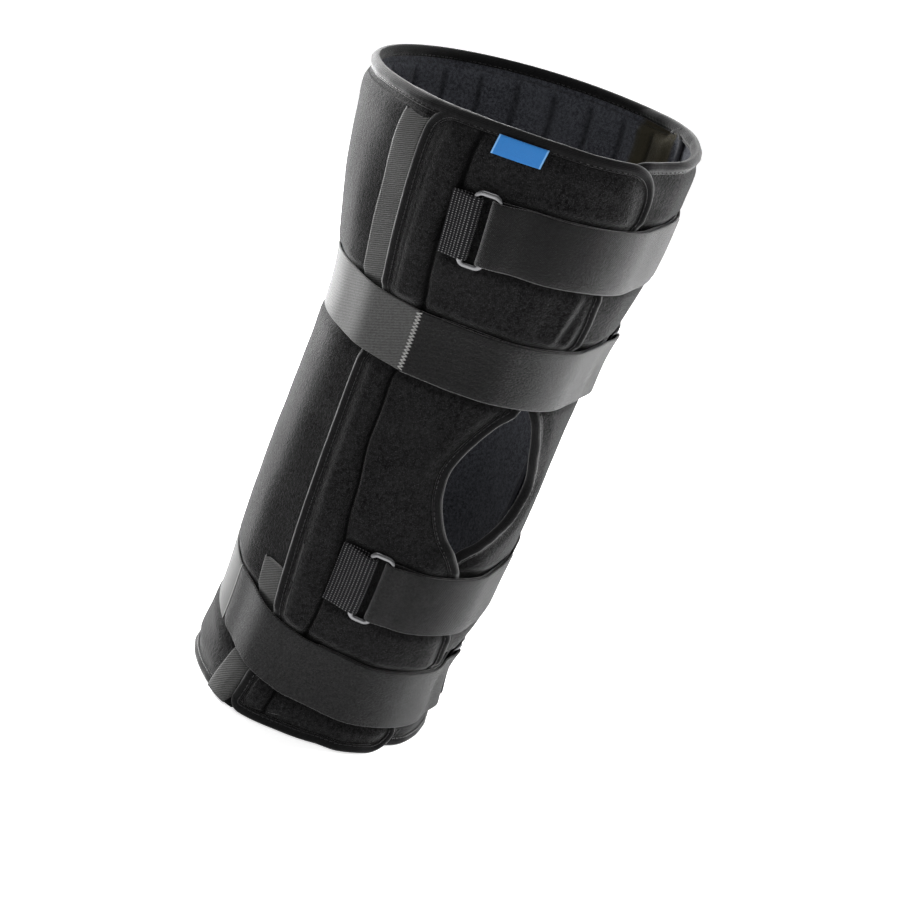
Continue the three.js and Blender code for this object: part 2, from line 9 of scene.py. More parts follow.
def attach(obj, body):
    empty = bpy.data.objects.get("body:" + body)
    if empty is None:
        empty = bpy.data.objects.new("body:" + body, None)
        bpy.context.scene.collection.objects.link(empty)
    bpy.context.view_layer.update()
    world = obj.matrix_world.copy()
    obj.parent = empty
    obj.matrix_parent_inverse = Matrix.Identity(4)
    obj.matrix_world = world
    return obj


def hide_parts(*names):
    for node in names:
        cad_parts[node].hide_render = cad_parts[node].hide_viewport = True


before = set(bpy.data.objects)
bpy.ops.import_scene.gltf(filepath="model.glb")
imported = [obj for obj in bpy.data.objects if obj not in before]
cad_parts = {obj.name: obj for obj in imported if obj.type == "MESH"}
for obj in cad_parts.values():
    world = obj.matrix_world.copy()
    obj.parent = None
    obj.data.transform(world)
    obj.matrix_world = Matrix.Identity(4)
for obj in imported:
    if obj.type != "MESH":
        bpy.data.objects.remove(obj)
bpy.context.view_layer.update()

# Sizes in millimetres and angles in degrees from the front (-Y), with plus towards +X. The axes and most
# sizes are the solids' own; the edges, corners and groove follow the photo a little more closely.
MM = 0.001
AXIS = (-5.0916, -0.9427)        # where the axis of the section table stands
HEIGHT = 407.0
RADIUS = 83.3
RIM_SLOPE = 0.145
FRONT_DIP = 5.0
DIP_WIDTH = 45.0
PANEL = 5.5                      # thickness of the padded laminate
PINCHED = 2.4                    # the same inside the binding tape
TAPE_LAP = 6.6                   # how far the tape reaches in from the outline
PANEL_EDGE = 1.35                # where the pinched padding ends inside the tape
OVERLAP_CLEARANCE = 0.9
GIVE = 3.0                       # how far a soft layer gives way under another
LIFT = PANEL + OVERLAP_CLEARANCE - GIVE
BACK_PANEL_EDGE = 64.0
FREE_BACK = 104.0                # where the back panel comes clear of the side panels' hold
HELD_BACK = 82.0                 # and where it is fully pressed in under them
RIM_UP = 76.0                    # where its rims have climbed to the side panels' height
GROOVE_HALF = 2.5
POCKET_STEP = 1.5                # how far behind the groove the step onto the back panel lies
END_SPREAD = 9.5                 # how much that step widens towards the two rims
END_REACH = 26.0
CLIMB_RUN = 12.0
CLIMB_END = 8.0
STRAP_WIDTH = 38.5
STRAP = 1.5
PRESS = 3.0                      # how deep a strap presses into the padding
TAPE_PRESS = 2.1                 # and into the padding pinched by a tape
TAPE_YIELD = 1.5                 # and how far it pushes the tape itself in
BED = 2.1                        # how far a strap's underside lies below the free padding
FOLD_GAP = 0.35
BRIDGE_SLOPE = 0.2
SETTLE = 14.0                    # degrees over which a strap rises to its ring
WIRE = 3.8
RING_WIDTH = 16.0
RING_CLEARANCE = 0.1
RING_CORNER = 3.4
RING_SINK = 0.6
FOLD_ROOM = 0.4
KEEPER = 1.6
KEEPER_WIDTH = 37.5
RIB_PITCH = 1.9
TAB = 1.6
TAB_GAP = 0.5
TAB_PRESS = 2.2
LABEL_SIZE = (27.0, 11.0, 0.8)
LABEL_BELOW_RIM = 4.6
LABEL_ANGLE = -45.0
STITCH_DEPTH = 5.5
STITCH_PITCH = 3.1
STITCH_SIZE = (2.3, 0.55, 0.45)
STITCH_HEIGHT = 2.0


def table(columns, *rows):
    """Rows of numbers as one array for each named column."""
    return dict(zip(columns.split(), np.array(rows).T))


def named_rows(columns, **rows):
    """Each row's numbers by the names of their columns."""
    return {name: dict(zip(columns.split(), row)) for name, row in rows.items()}


SECTIONS = table(
    "at wide deep right back",
    (0.000, 0.942, 0.937, -0.138, -0.072),
    (0.120, 0.936, 0.943, -0.066, -0.036),
    (0.250, 0.984, 1.014, 0.006, -0.010),
    (0.390, 0.996, 1.004, 0.042, 0.008),
    (0.530, 0.996, 1.006, 0.072, 0.024),
    (0.675, 1.009, 1.044, 0.090, 0.036),
    (0.820, 1.122, 1.176, 0.066, 0.044),
    (0.940, 1.158, 1.213, 0.024, 0.050),
    (1.000, 1.116, 1.255, 0.000, 0.053),
)
BACK_EDGE = table(
    "at angle",
    (0.00, 75.0), (0.06, 72.5), (0.14, 72.0), (0.22, 74.6), (0.32, 76.7), (0.60, 79.0), (0.77, 78.2),
    (1.00, 75.3),
)
GROOVE = table(
    "at angle",
    (0.00, 57.0), (0.05, 56.0), (0.16, 55.2), (0.25, 54.4), (0.33, 54.4), (0.41, 57.8), (0.51, 61.4),
    (0.71, 59.6), (0.77, 61.2), (0.92, 57.2), (1.00, 57.8),
)
LEFT_FRONT = table(
    "at angle",
    (0.000, 0.0), (0.050, 5.5), (0.100, 12.0), (0.150, 13.0), (0.205, 8.3), (0.280, 2.0),
    (0.318, -2.9), (0.358, -10.2), (0.384, -16.2), (0.418, -21.6), (0.451, -24.6), (0.489, -25.0),
    (0.538, -19.4), (0.586, -10.6), (0.615, -5.5), (0.650, 0.0), (0.700, 3.5), (0.740, 3.7),
    (0.790, 1.5), (0.840, 2.5), (0.910, 5.0), (1.000, 5.0),
)
RIGHT_FRONT = table(
    "at angle",
    (0.000, -12.0), (0.270, -14.0), (0.310, -11.0), (0.350, -5.7), (0.378, 3.6), (0.407, 13.7),
    (0.440, 19.0), (0.465, 19.4), (0.507, 13.4), (0.555, 6.4), (0.588, 0.3), (0.620, -6.0),
    (0.660, -12.0), (0.710, -14.0), (1.000, -14.0),
)
# Corner radii at the bottom and the top of a panel's edge.
CORNERS = {"front": (17.0, 26.0), "back": (8.0, 16.0), "back_panel": (11.0, 11.0)}

# Where the straps draw the sleeve in: angle and half width, level and half height, and size outwards.
PULLS = (
    (43.0, 32.0, 47.0, 24.0, -5.5),
    (45.0, 32.0, 108.0, 22.0, -1.5),
    (46.0, 20.0, 262.0, 20.0, -1.5),
)

# Straps: middle line as a share of the rim height, its rise towards the back, and the angles of the
# ring, of the sewn start under the strap, of the end of the dark webbing and of the hook tab's end.
STRAPS = named_rows(
    "at rise ring sewn end tab_end",
    thigh=(0.846, -0.03, -48.6, 55.0, 38.5, 92.0),
    upper_knee=(0.660, 0.03, 46.0, -52.0, -60.0, -150.0),
    lower_knee=(0.305, 0.16, -38.2, 52.0, 38.5, 92.0),
    calf=(0.135, 0.18, 40.0, -48.0, -102.0, -150.0),
)
# Hook tabs: their ends as shares of the rim height, and how many degrees of them show there.
HOOK_TABS = named_rows(
    "low high show_low show_high",
    upper=(0.675, 0.972, 12.5, 10.0),
    lower=(0.004, 0.238, 13.5, 13.0),
)
RIM_HEIGHT = HEIGHT - RIM_SLOPE * RADIUS * (SECTIONS["right"][-1] + SECTIONS["wide"][-1])


def look_up(rows, at, column="angle"):
    """A smooth cubic curve through a table's rows; the slope at a row comes from its two neighbours."""
    x, y = rows["at"], rows[column]
    low = np.maximum(np.arange(len(x)) - 1, 0)
    high = np.minimum(np.arange(len(x)) + 1, len(x) - 1)
    slope = (y[high] - y[low]) / (x[high] - x[low])
    i = np.clip(np.searchsorted(x, at, side="left") - 1, 0, len(x) - 2)
    span = x[i + 1] - x[i]
    t = np.clip((at - x[i]) / span, 0, 1)
    return (y[i] * (2 * t**3 - 3 * t**2 + 1) + slope[i] * span * (t**3 - 2 * t**2 + t)
            + y[i + 1] * (3 * t**2 - 2 * t**3) + slope[i + 1] * span * (t**3 - t**2))


def line_at(rows, level):
    """The angle of an edge or a groove at a level."""
    return look_up(rows, level / RIM_HEIGHT)


def ramp(x, start, stop):
    """0 before the start, 1 past the stop and an S-curve between. The stop may be the lower number."""
    t = np.clip((x - start) / (stop - start), 0, 1)
    return t * t * (3 - 2 * t)


def bell(x, centre, half):
    """A round bell of height 1 at the centre that fades out over the half width."""
    return np.exp(-((x - centre) / half) ** 2)


def ripple(run, pitch, phase=0.0):
    """A sine wave along a run."""
    return np.sin(run * 2 * math.pi / pitch + phase)


def wrap(angle):
    """The same angle between -180 and 180 degrees."""
    return (angle + 180) % 360 - 180


def pull(angle, level):
    """Where the tightened sleeve is drawn in, in millimetres outwards: bells in angle and level."""
    return sum(size * bell(wrap(angle), middle, wide) * bell(level, height, tall)
               for middle, wide, height, tall, size in PULLS)


def place(angle, level, out):
    """The point at an angle round the sleeve, on an elliptical section at a level, moved out along the
    section's normal. Heights are sheared with the sloping rim. The result is in metres."""
    angle, level, out = np.broadcast_arrays(*(np.asarray(v, float) for v in (angle, level, out)))
    out = out + pull(angle, level)
    at = level / RIM_HEIGHT
    a = look_up(SECTIONS, at, "wide") * RADIUS
    b = look_up(SECTIONS, at, "deep") * RADIUS
    s, c = np.sin(np.radians(angle)), np.cos(np.radians(angle))
    normal = np.hypot(s / a, c / b)
    x = look_up(SECTIONS, at, "right") * RADIUS + a * s + out * s / (a * normal)
    y = look_up(SECTIONS, at, "back") * RADIUS - b * c - out * c / (b * normal)
    z = at * (RIM_HEIGHT + RIM_SLOPE * x - FRONT_DIP * bell(wrap(angle), 0, DIP_WIDTH))
    return np.stack([x + AXIS[0], y + AXIS[1], z], axis=-1) * MM


def per_mm(level):
    """Degrees that one millimetre takes round the sleeve."""
    at = np.asarray(level) / RIM_HEIGHT
    mean = (look_up(SECTIONS, at, "wide") + look_up(SECTIONS, at, "deep")) / 2
    return 1 / (mean * RADIUS * math.radians(1))


KNEE_PER_MM = float(per_mm(0.45 * RIM_HEIGHT))


def unroll(points):
    """Angles and levels as a flat map in millimetres, at the knee's girth."""
    return points / (KNEE_PER_MM, 1.0)


def travelled(points):
    """Distance along a path up to each of its points."""
    return np.concatenate([[0], np.cumsum(np.linalg.norm(np.diff(points, axis=0), axis=1))])


def unit(vectors):
    """Vectors of length 1 in the same directions."""
    return vectors / np.linalg.norm(vectors, axis=-1, keepdims=True)


def pocket_lift(angle, level):
    """The step up onto the back panel beside the stay pocket, gentler at the two bound ends."""
    groove = line_at(GROOVE, level) + POCKET_STEP
    end = np.minimum(np.abs(level), np.abs(RIM_HEIGHT - level))
    half = GROOVE_HALF + END_SPREAD * ramp(end, END_REACH, 0)
    return LIFT * ramp(np.abs(angle), groove - half, groove + half)


def rim_lift(side):
    """Lift of the back panel's rims beside and beyond the side panels' corners."""
    return (LIFT + GIVE) * ramp(side, FREE_BACK, RIM_UP) - GIVE * ramp(side, FREE_BACK, HELD_BACK)


def back_lift(angle, level):
    """The back panel gives way under the side panels, less so near the thigh rim, and both its rims
    climb to the height of theirs beside their rounded corners."""
    side = np.abs(wrap(angle))
    firm = 0.95 * ramp(RIM_HEIGHT - level, 62, 24)
    free = -GIVE * ramp(side, FREE_BACK, HELD_BACK) * (1 - firm)
    bottom, top = CORNERS["back"]
    for radius, depth, reach in ((top, RIM_HEIGHT - level, 15.0), (bottom, level, 36.0)):
        t = np.clip(1 - depth / radius, 0, 1)
        corner = line_at(BACK_EDGE, level) - radius * (1 - np.sqrt(1 - t * t)) * per_mm(level)
        share = ramp(side, corner + 0.2, corner + 1.6) * ramp(depth, reach, 8)
        free = free + (rim_lift(side) - free) * share
    return free


def right_lift(angle, level):
    """The right panel steps up at the stay pocket and gives way under the left flap."""
    edge = line_at(LEFT_FRONT, level)
    return np.where(angle > 40, pocket_lift(angle, level), -GIVE * ramp(angle, edge + 17, edge + 2))


def left_lift(angle, level):
    """The left panel steps up at the stay pocket and again onto the right flap's hidden edge."""
    top = line_at(RIGHT_FRONT, level) - CLIMB_END
    return np.where(angle < -40, pocket_lift(angle, level), LIFT * ramp(angle, top - CLIMB_RUN, top))


LIFTS = {"back": back_lift, "right": right_lift, "left": left_lift}


def strap_level(strap, angle):
    """Level of a strap's middle line, tilted towards the back."""
    depth = float(look_up(SECTIONS, strap["at"], "deep")) * RADIUS
    y = float(look_up(SECTIONS, strap["at"], "back")) * RADIUS - depth * np.cos(np.radians(angle))
    return strap["at"] * RIM_HEIGHT + strap["rise"] * y


def pressed(angle, level):
    """1 under a strap and 0 away from it, with soft shoulders just outside the strap's edges."""
    angle = wrap(angle)
    total = np.zeros_like(angle)
    for strap in STRAPS.values():
        groove = math.copysign(float(look_up(GROOVE, strap["at"])) - GROOVE_HALF, strap["ring"])
        low, high = sorted((groove, strap["tab_end"]))
        beyond = np.abs(level - strap_level(strap, angle)) - STRAP_WIDTH / 2 + 1
        inside = ramp(angle, low - 3, low + 1) * ramp(angle, high + 3, high - 1)
        total = np.maximum(total, ramp(beyond, 7, 0) * inside)
    return total


def skin(angle, level):
    """Height of the outermost fabric, for what lies on it."""
    at = level / RIM_HEIGHT
    back = look_up(BACK_EDGE, at)
    on_left = (angle >= -back) & (angle <= look_up(LEFT_FRONT, at))
    on_right = (angle > 0) & (angle <= back)
    beyond = np.abs(angle) - back
    tabbed = np.zeros_like(angle)
    for tab in HOOK_TABS.values():
        near = (at > tab["low"] - 0.02) & (at < tab["high"] + 0.02) & (beyond < tab["show_low"] + 1)
        tabbed = np.where(near, 0.4 + TAB, tabbed)
    tabbed = tabbed + back_lift(angle, level)
    return np.where(on_left, left_lift(angle, level), np.where(on_right, right_lift(angle, level), tabbed))


def unevenness(angle, level, seed):
    """Slow, shallow waves of padded cloth, in millimetres: a sum of sines with fixed phases."""
    x, y = angle / KNEE_PER_MM, level
    rng = np.random.default_rng(seed)
    total = np.zeros_like(x)
    for wave in (95.0, 61.0, 38.0, 24.0):
        turn, shift = rng.uniform(0, 2 * math.pi, 2)
        s, c = math.sin(turn), math.cos(turn)
        total += wave * (ripple(x * c + y * s, wave, shift) + ripple(x * s - y * c, wave, -shift))
    return total * 0.0022


def outward(verts, faces):
    """Faces turned so that the closed mesh holds a positive volume."""
    a, b, c, d = (verts[faces[:, k]] for k in range(4))
    volume = np.einsum("ij,ij->i", a, np.cross(b, c)).sum() + np.einsum("ij,ij->i", a, np.cross(c, d)).sum()
    return faces if volume > 0 else faces[:, ::-1]


def make_piece(name, verts, faces, materials, node=None, cloth=(0.0, 0.0), slots=None):
    """A mesh object from arrays: points in metres, quads, a material slot a face, and in cloth where each
    point lies on the flat cloth, in millimetres. It stands for a node of the solids where one is named."""
    uv = np.stack(np.broadcast_arrays(*cloth, verts[..., 0])[:2], -1).reshape(-1, 2) * MM
    verts = verts.reshape(-1, 3)
    turned = outward(verts, faces)
    mesh = bpy.data.meshes.new(name)
    mesh.vertices.add(len(verts))
    mesh.vertices.foreach_set("co", verts.ravel())
    mesh.loops.add(turned.size)
    mesh.loops.foreach_set("vertex_index", turned.ravel().astype(np.int32))
    mesh.polygons.add(len(turned))
    mesh.polygons.foreach_set("loop_start", np.arange(0, turned.size, 4, dtype=np.int32))
    mesh.polygons.foreach_set("use_smooth", np.ones(len(turned), bool))
    for material in materials:
        mesh.materials.append(material)
    if slots is not None:
        mesh.polygons.foreach_set("material_index", slots.astype(np.int32))
    mesh.uv_layers.new(name="cloth").data.foreach_set("uv", uv[turned.ravel()].ravel())
    mesh.update(calc_edges=True)
    mesh.validate()
    piece = bpy.data.objects.new(name, mesh)
    bpy.context.scene.collection.objects.link(piece)
    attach(piece, "root")
    if node:
        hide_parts(node)
    return piece


def grid_faces(index):
    """Quads between neighbours in a two-dimensional array of point numbers."""
    return np.stack([index[:-1, :-1], index[:-1, 1:], index[1:, 1:], index[1:, :-1]], axis=-1).reshape(-1, 4)


def wrapped(index, axis=1):
    """The same array with its first row or column added again at the end."""
    return np.concatenate([index, np.take(index, [0], axis=axis)], axis=axis)


def tube_faces(count, size, closed=False):
    """Quads of rings of one size joined in order; open tubes get end caps folded flat."""
    index = wrapped(np.arange(count * size).reshape(count, size))
    if closed:
        return grid_faces(wrapped(index, 0))
    k = np.arange(size // 2 - 1)
    cap = np.stack([k, k + 1, size - 2 - k, size - 1 - k], -1)
    return np.concatenate([grid_faces(index), index[0][cap], index[-1][cap][:, ::-1]])


def make_tube(name, verts, materials, node=None, cloth=(0.0, 0.0), slots=None, closed=False):
    """A piece whose points are rings of one size, joined in order."""
    faces = tube_faces(*verts.shape[:2], closed)
    return make_piece(name, verts, faces, materials, node, cloth, slots)


def there_and_back(across, thick):
    """A flat bar's closed section: its upper face, then the lower one back to the start."""
    return np.concatenate([across, across[::-1]]), np.concatenate([thick, -thick[::-1]])


CORNER_STEPS = 7


def panel_outline(first, second, first_corners, second_corners, spacing):
    """A panel's closed outline as angles and levels: two side curves, level ends and round corners. It
    starts in the middle of the low corner of the first side and runs along the bottom. Also gives the
    number of steps along the bottom and the top."""
    up = int(RIM_HEIGHT / spacing)
    across = int(abs(float(second(200.0)) - float(first(200.0))) / KNEE_PER_MM / spacing)

    def corner(edge, sign, radius, rim, inside):
        centre = rim + inside * radius
        turn = float(per_mm(rim)) * radius * sign
        t = np.linspace(0, math.pi / 2, 2 * CORNER_STEPS - 1)
        angle = float(edge(centre)) + turn - turn * np.cos(t)
        return np.stack([angle, centre - inside * radius * np.sin(t)], -1)

    def along(a, b):
        return a + (b - a) * np.linspace(0, 1, across + 2)[1:-1, None]

    def side(edge, a, b):
        level = np.linspace(a[1], b[1], up + 2)[1:-1]
        return np.stack([edge(level), level], -1)

    low, high = ([corner(edge, sign, radii[k], rim, inside)
                  for edge, sign, radii in ((first, 1, first_corners), (second, -1, second_corners))]
                 for k, rim, inside in ((0, 0.0, 1), (1, RIM_HEIGHT, -1)))
    outline = np.concatenate([
        low[0], along(low[0][-1], low[1][-1]), low[1][::-1], side(second, low[1][0], high[1][0]),
        high[1], along(high[1][-1], high[0][-1]), high[0][::-1], side(first, high[0][0], low[0][0])])
    return np.roll(outline, 1 - CORNER_STEPS, axis=0), across + 2 * CORNER_STEPS - 1


def edge_curve(rows, sign=1):
    """An edge's angle as a function of the level, on the side that the sign gives."""
    return lambda level: sign * line_at(rows, level)


def outlines(spacing):
    """The outlines of the three panels, with their steps along the bottom. Edges come in the order that
    they are met going round towards +X."""
    front, back, rear = CORNERS["front"], CORNERS["back"], CORNERS["back_panel"]
    start, stop = (lambda level, at=at: at + 0 * level for at in (BACK_PANEL_EDGE, 360 - BACK_PANEL_EDGE))
    return {
        "back": panel_outline(start, stop, rear, rear, spacing),
        "left": panel_outline(edge_curve(BACK_EDGE, -1), edge_curve(LEFT_FRONT), back, front, spacing),
        "right": panel_outline(edge_curve(RIGHT_FRONT), edge_curve(BACK_EDGE), front, back, spacing),
    }


def inward(points):
    """Unit steps at right angles to the outline, towards its inside, in degrees and millimetres."""
    scale = per_mm(points[:, 1])
    flat = points / (scale.mean(), 1.0)
    run = unit(np.roll(flat, -1, 0) - np.roll(flat, 1, 0))
    return np.stack([-run[:, 1] * scale, run[:, 0]], -1)


def edge_distance(core, points):
    """Distance of each core point from the outline, in millimetres, in strips to save memory."""
    target, flat = unroll(points), unroll(core).reshape(-1, 2)
    return np.concatenate([np.sqrt(((strip[:, None] - target) ** 2).sum(-1)).min(1)
                           for strip in np.array_split(flat, max(len(flat) // 2000, 1))])


def thickness(distance):
    """Pinched inside the tape, then rising to the laminate's own thickness."""
    return PINCHED + (PANEL - PINCHED) * ramp(distance, TAPE_LAP - 1.2, TAPE_LAP + 7.8)


def swelling(distance):
    """The roll of padding beside the tape, in millimetres above the flat face."""
    return 0.4 * ramp(distance, TAPE_LAP, TAPE_LAP + 9) * ramp(distance, 30, 16)


def groove_line(level):
    """The middle of the narrow slit beside the stay pocket, as an angle from the front: it wanders."""
    return line_at(GROOVE, level) + 0.8 + 0.5 * np.sin(level / 17.0) + 0.3 * np.sin(level / 7.3 + 1)


def painted_crease_shade(name, angle, level, distance):
    """Painted shade for the slit beside the stay pocket and the seam just inside the binding tape, from 0 to
    1, by how deep in the fold a point lies; the fleece's colour is darkened by it."""
    seam_shade = 0.7 * bell(distance, TAPE_LAP + 0.4, 0.8)
    if name == "back":
        return seam_shade
    side = np.abs(angle)
    return np.maximum(seam_shade, bell(side, groove_line(level), 1.5) * (side > 40))


# The left flap's creases above the knee: angle, half width and height. Each leans with the level.
CREASES = ((-3.0, 1.1, 1.5), (-6.5, 1.3, -1.4), (-10.5, 1.4, 1.2), (-17.0, 2.4, -0.8))
CREASE_LEAN = 22.0
WAVES = {"back": 3, "right": 5, "left": 9}


def outer_relief(name, angle, level):
    """Raised and sunk forms of a panel's outer face: the plump stay pocket, the groove beside it and the
    flaps' creases, in millimetres."""
    waves = unevenness(angle, level, WAVES[name])
    if name == "back":
        return waves
    at = level / RIM_HEIGHT
    side = np.abs(angle)
    groove = look_up(GROOVE, at)
    pocket = bell(side, (groove + look_up(BACK_EDGE, at)) / 2 + 1.0, 4.6)
    shoulder = bell(side, groove - 3.5, 3.2)
    relief = pocket + shoulder - 3.2 * bell(side, groove_line(level), 1.1)
    if name == "right":
        return np.where(angle > 20, relief, 0) + waves
    creases = sum(size * bell(angle, centre + CREASE_LEAN * (at - 0.76), width)
                  for centre, width, size in CREASES)
    return np.where(angle < -30, relief, 0) + creases * ramp(at, 0.70, 0.73) * ramp(at, 0.815, 0.785) + waves


CHANNELS = (84.0, 99.0, 114.0, 129.0, 144.0, 159.0, 175.0, 190.0, 206.0, 221.0, 236.0)


def channel_lines(angle, half):
    """Bells along the lining's sewn channels."""
    return sum(bell(angle, centre, half) for centre in CHANNELS)


def channel_reach(level):
    """1 where the lining's channels run: from just under the rim to above the knee."""
    return ramp(RIM_HEIGHT - level, 8, 16) * ramp(level, 0.55 * RIM_HEIGHT, 0.55 * RIM_HEIGHT + 70)


def lining_relief(name, angle, level):
    """Sewn channels of the lining, as grooves between plump ribs, in millimetres inwards."""
    if name != "back":
        return 0.5 * unevenness(angle, level, 12)
    ribs = 2.2 - 2.2 * channel_lines(angle, 5.0) - 1.2 * channel_lines(angle, 1.6)
    return ribs * channel_reach(level) + 0.8 * unevenness(angle, level, 14)


INSETS = (PANEL_EDGE, 2.4, 4.5, 6.8, 8.4, 10.0)


def padded_panel(name, points, across, materials):
    """A padded panel: the outer and the inner face are rings inset from the outline, then a core of rows
    and columns between them. Each point is placed at its lift plus or minus half its thickness."""
    rings = points + inward(points) * np.array(INSETS)[:, None, None]
    count = len(points)
    up = count // 2 - across
    inner = rings[-1]
    bottom = inner[: across + 1]
    right = inner[across: across + up + 1]
    top = inner[across + up: 2 * across + up + 1][::-1]
    left = np.concatenate([inner[2 * across + up:], inner[:1]])[::-1]
    low, high = ((row[:, 0] - row[0, 0]) / (row[-1, 0] - row[0, 0]) for row in (bottom, top))
    rise = np.linspace(0, 1, up + 1)[:, None]
    share = (low * (1 - rise) + high * rise)[..., None]
    core = left[:, None] * (1 - share) + right[:, None] * share
    core[0], core[-1] = bottom, top

    angle, level = np.concatenate([rings[:-1].reshape(-1, 2), core.reshape(-1, 2)]).T
    core_distance = np.maximum(edge_distance(core, points), INSETS[-1])
    distance = np.concatenate([np.repeat(INSETS[:-1], count), core_distance])
    half = thickness(distance) / 2
    middle = LIFTS[name](angle, level) - PANEL / 2
    squeeze = pressed(angle, level)
    inside = ramp(distance, TAPE_LAP, TAPE_LAP + 8)
    relief = (swelling(distance) + outer_relief(name, angle, level) * inside) * (1 - 0.8 * squeeze)
    outer = middle + half + relief - squeeze * (TAPE_PRESS + (PRESS - TAPE_PRESS) * inside)
    lining = np.maximum(lining_relief(name, angle, level) * inside, -1.6)
    under = middle - half - 0.9 * squeeze * (1 - inside) - lining

    steps = len(INSETS) - 1
    index = steps * count + np.arange(share.size).reshape(up + 1, across + 1)
    border = np.concatenate([index[0, :-1], index[:-1, -1], index[-1, :0:-1], index[:0:-1, 0]])
    loops = wrapped(np.concatenate([np.arange(steps * count).reshape(steps, count), border[None]]))
    face = np.concatenate([grid_faces(loops), grid_faces(index)])
    edge = np.stack([loops[0], loops[0] + len(angle)])
    faces = np.concatenate([face, face[:, ::-1] + len(angle), grid_faces(edge)[:, ::-1]])
    slots = np.concatenate([np.zeros(len(face)), np.ones(len(face)), np.zeros(count)])

    # Painted shade along the lining's sewn channels, and on the outer face in the slit beside the stay pocket
    # and the seam beside the tape: a point attribute that darkens the fleece's colour.
    channel_shade = channel_lines(angle, 1.5) * channel_reach(level) * (name == "back")
    patch = ramp(angle, 69, 70) * ramp(angle, 91, 90) * ramp(RIM_HEIGHT - level, 38, 37) * (name == "back")
    crease = np.concatenate([painted_crease_shade(name, angle, level, distance), channel_shade])
    angle, level = np.tile(angle, 2), np.tile(level, 2)
    verts = place(angle, level, np.concatenate([outer, under]))
    piece = make_piece(f"{name}_panel_padded", verts, faces, materials, f"{name}_panel",
                       (angle / KNEE_PER_MM, level), slots)
    for label, values in (("crease", crease), ("patch", np.concatenate([0 * patch, patch]))):
        values = values.astype(np.float32)
        piece.data.attributes.new(label, "FLOAT", "POINT").data.foreach_set("value", values)


# Cross-section of a binding tape: distance in from the outline and height over the middle of the edge,
# as the upper half of its outer face and of its inner one.
TAPE_OUTER = ((6.6, 1.5), (6.5, 1.95), (6.0, 2.2), (5.5, 1.95), (5.0, 2.15), (4.2, 2.75), (3.0, 3.1),
              (1.8, 2.75), (0.8, 1.95), (0.1, 0.9))
TAPE_INNER = ((1.0, 1.25), (3.5, 1.4), (6.0, 1.4))
TAPE_POINTS = np.array([
    *TAPE_OUTER, (0.0, 0.0), *((d, -h) for d, h in TAPE_OUTER[::-1]),
    *((d, -h) for d, h in TAPE_INNER[::-1]), *TAPE_INNER])
TAPE_DEPTH, TAPE_HEIGHT = TAPE_POINTS.T
TAPE_ACROSS = travelled(TAPE_POINTS)


def flattened(name, angle):
    """How far the tape's thickness is left: the back panel's is pressed flat under the side panels."""
    return 1 - 0.5 * ramp(np.abs(wrap(angle)), 75, 70) * (name == "back")


def binding(name, points, materials):
    """Tape folded over a panel's edge: the profile carried round the outline, puckered a little by its
    stitches and by an uneven pull. Its second material is for the hidden edges seen inside the sleeve."""
    spots = points[:, None] + inward(points)[:, None] * TAPE_DEPTH[:, None]
    angle, level = spots[..., 0], spots[..., 1]
    height = TAPE_HEIGHT * flattened(name, angle)
    run = travelled(unroll(points))[:, None]
    waves = 0.05 * ripple(run, STITCH_PITCH) + 0.05 * ripple(run, 17) + 0.04 * ripple(run, 41, 1)
    pucker = 1 + waves * (TAPE_DEPTH > 2) * (np.abs(height) > 1.7)
    squeeze = pressed(angle, level)
    out = LIFTS[name](angle, level) - PANEL / 2 + height * pucker * (1 - 0.5 * squeeze) - TAPE_YIELD * squeeze
    hidden = (name == "back") & (np.abs(wrap(points[:, 0])) < 69) & (points[:, 1] < RIM_HEIGHT - 5)
    make_tube(f"{name}_panel_tape", place(angle, level, out), materials,
              f"{name}_panel_binding", (run, TAPE_ACROSS), np.repeat(hidden, len(TAPE_DEPTH)), True)


RIM_CAP = (50.0, 96.0)


def rim_cap(side_name, side, materials):
    """The rim's tape where it runs on from the back panel over a side panel's corner: the binding's
    profile along the top edge, a little larger, and tapered at both ends."""
    low, high = RIM_CAP
    turn = np.linspace(low, high, 80)[:, None]
    end = ramp(turn, low, low + 12) * ramp(turn, high, high - 14)
    level = RIM_HEIGHT + 0.6 * end - 0.5 - TAPE_DEPTH * (0.9 + 0.14 * end)
    run = turn / float(per_mm(RIM_HEIGHT))
    pucker = 1 + 0.04 * ripple(run, STITCH_PITCH) * (TAPE_DEPTH > 2)
    lift = rim_lift(turn) + pocket_lift(turn, RIM_HEIGHT) - LIFT
    out = lift - PANEL / 2 - 0.9 * end + TAPE_HEIGHT * pucker * (0.82 + 0.52 * end)
    make_tube(f"{side_name}_rim_tape", place(side * turn, level, out), materials,
              cloth=(run, TAPE_ACROSS))


def beads(name, centres, along, up, materials):
    """Many small rounded stitches as one mesh: each is a stretched six-sided bead of four rings, laid
    along its own direction."""
    along = unit(along)
    across = unit(np.cross(up, along))
    t, r = np.array([-1, -0.6, 0.6, 1.0]), np.array([0.3, 1.0, 1.0, 0.3])
    turn = np.arange(6) * math.pi / 3
    ring = t[:, None, None] * np.array([1, 0, 0])
    ring = ring + r[:, None, None] * np.stack([0 * turn, np.cos(turn), np.sin(turn)], -1)
    ring = ring * np.array(STITCH_SIZE) / 2 * MM
    axes = np.stack([along, across, np.cross(along, across)], 1)
    verts = centres[:, None, None, :] + np.einsum("trk,nkj->ntrj", ring, axes)
    base = tube_faces(len(t), len(turn))
    faces = (base[None] + (np.arange(len(centres)) * t.size * turn.size)[:, None, None]).reshape(-1, 4)
    make_piece(name, verts, faces, materials)


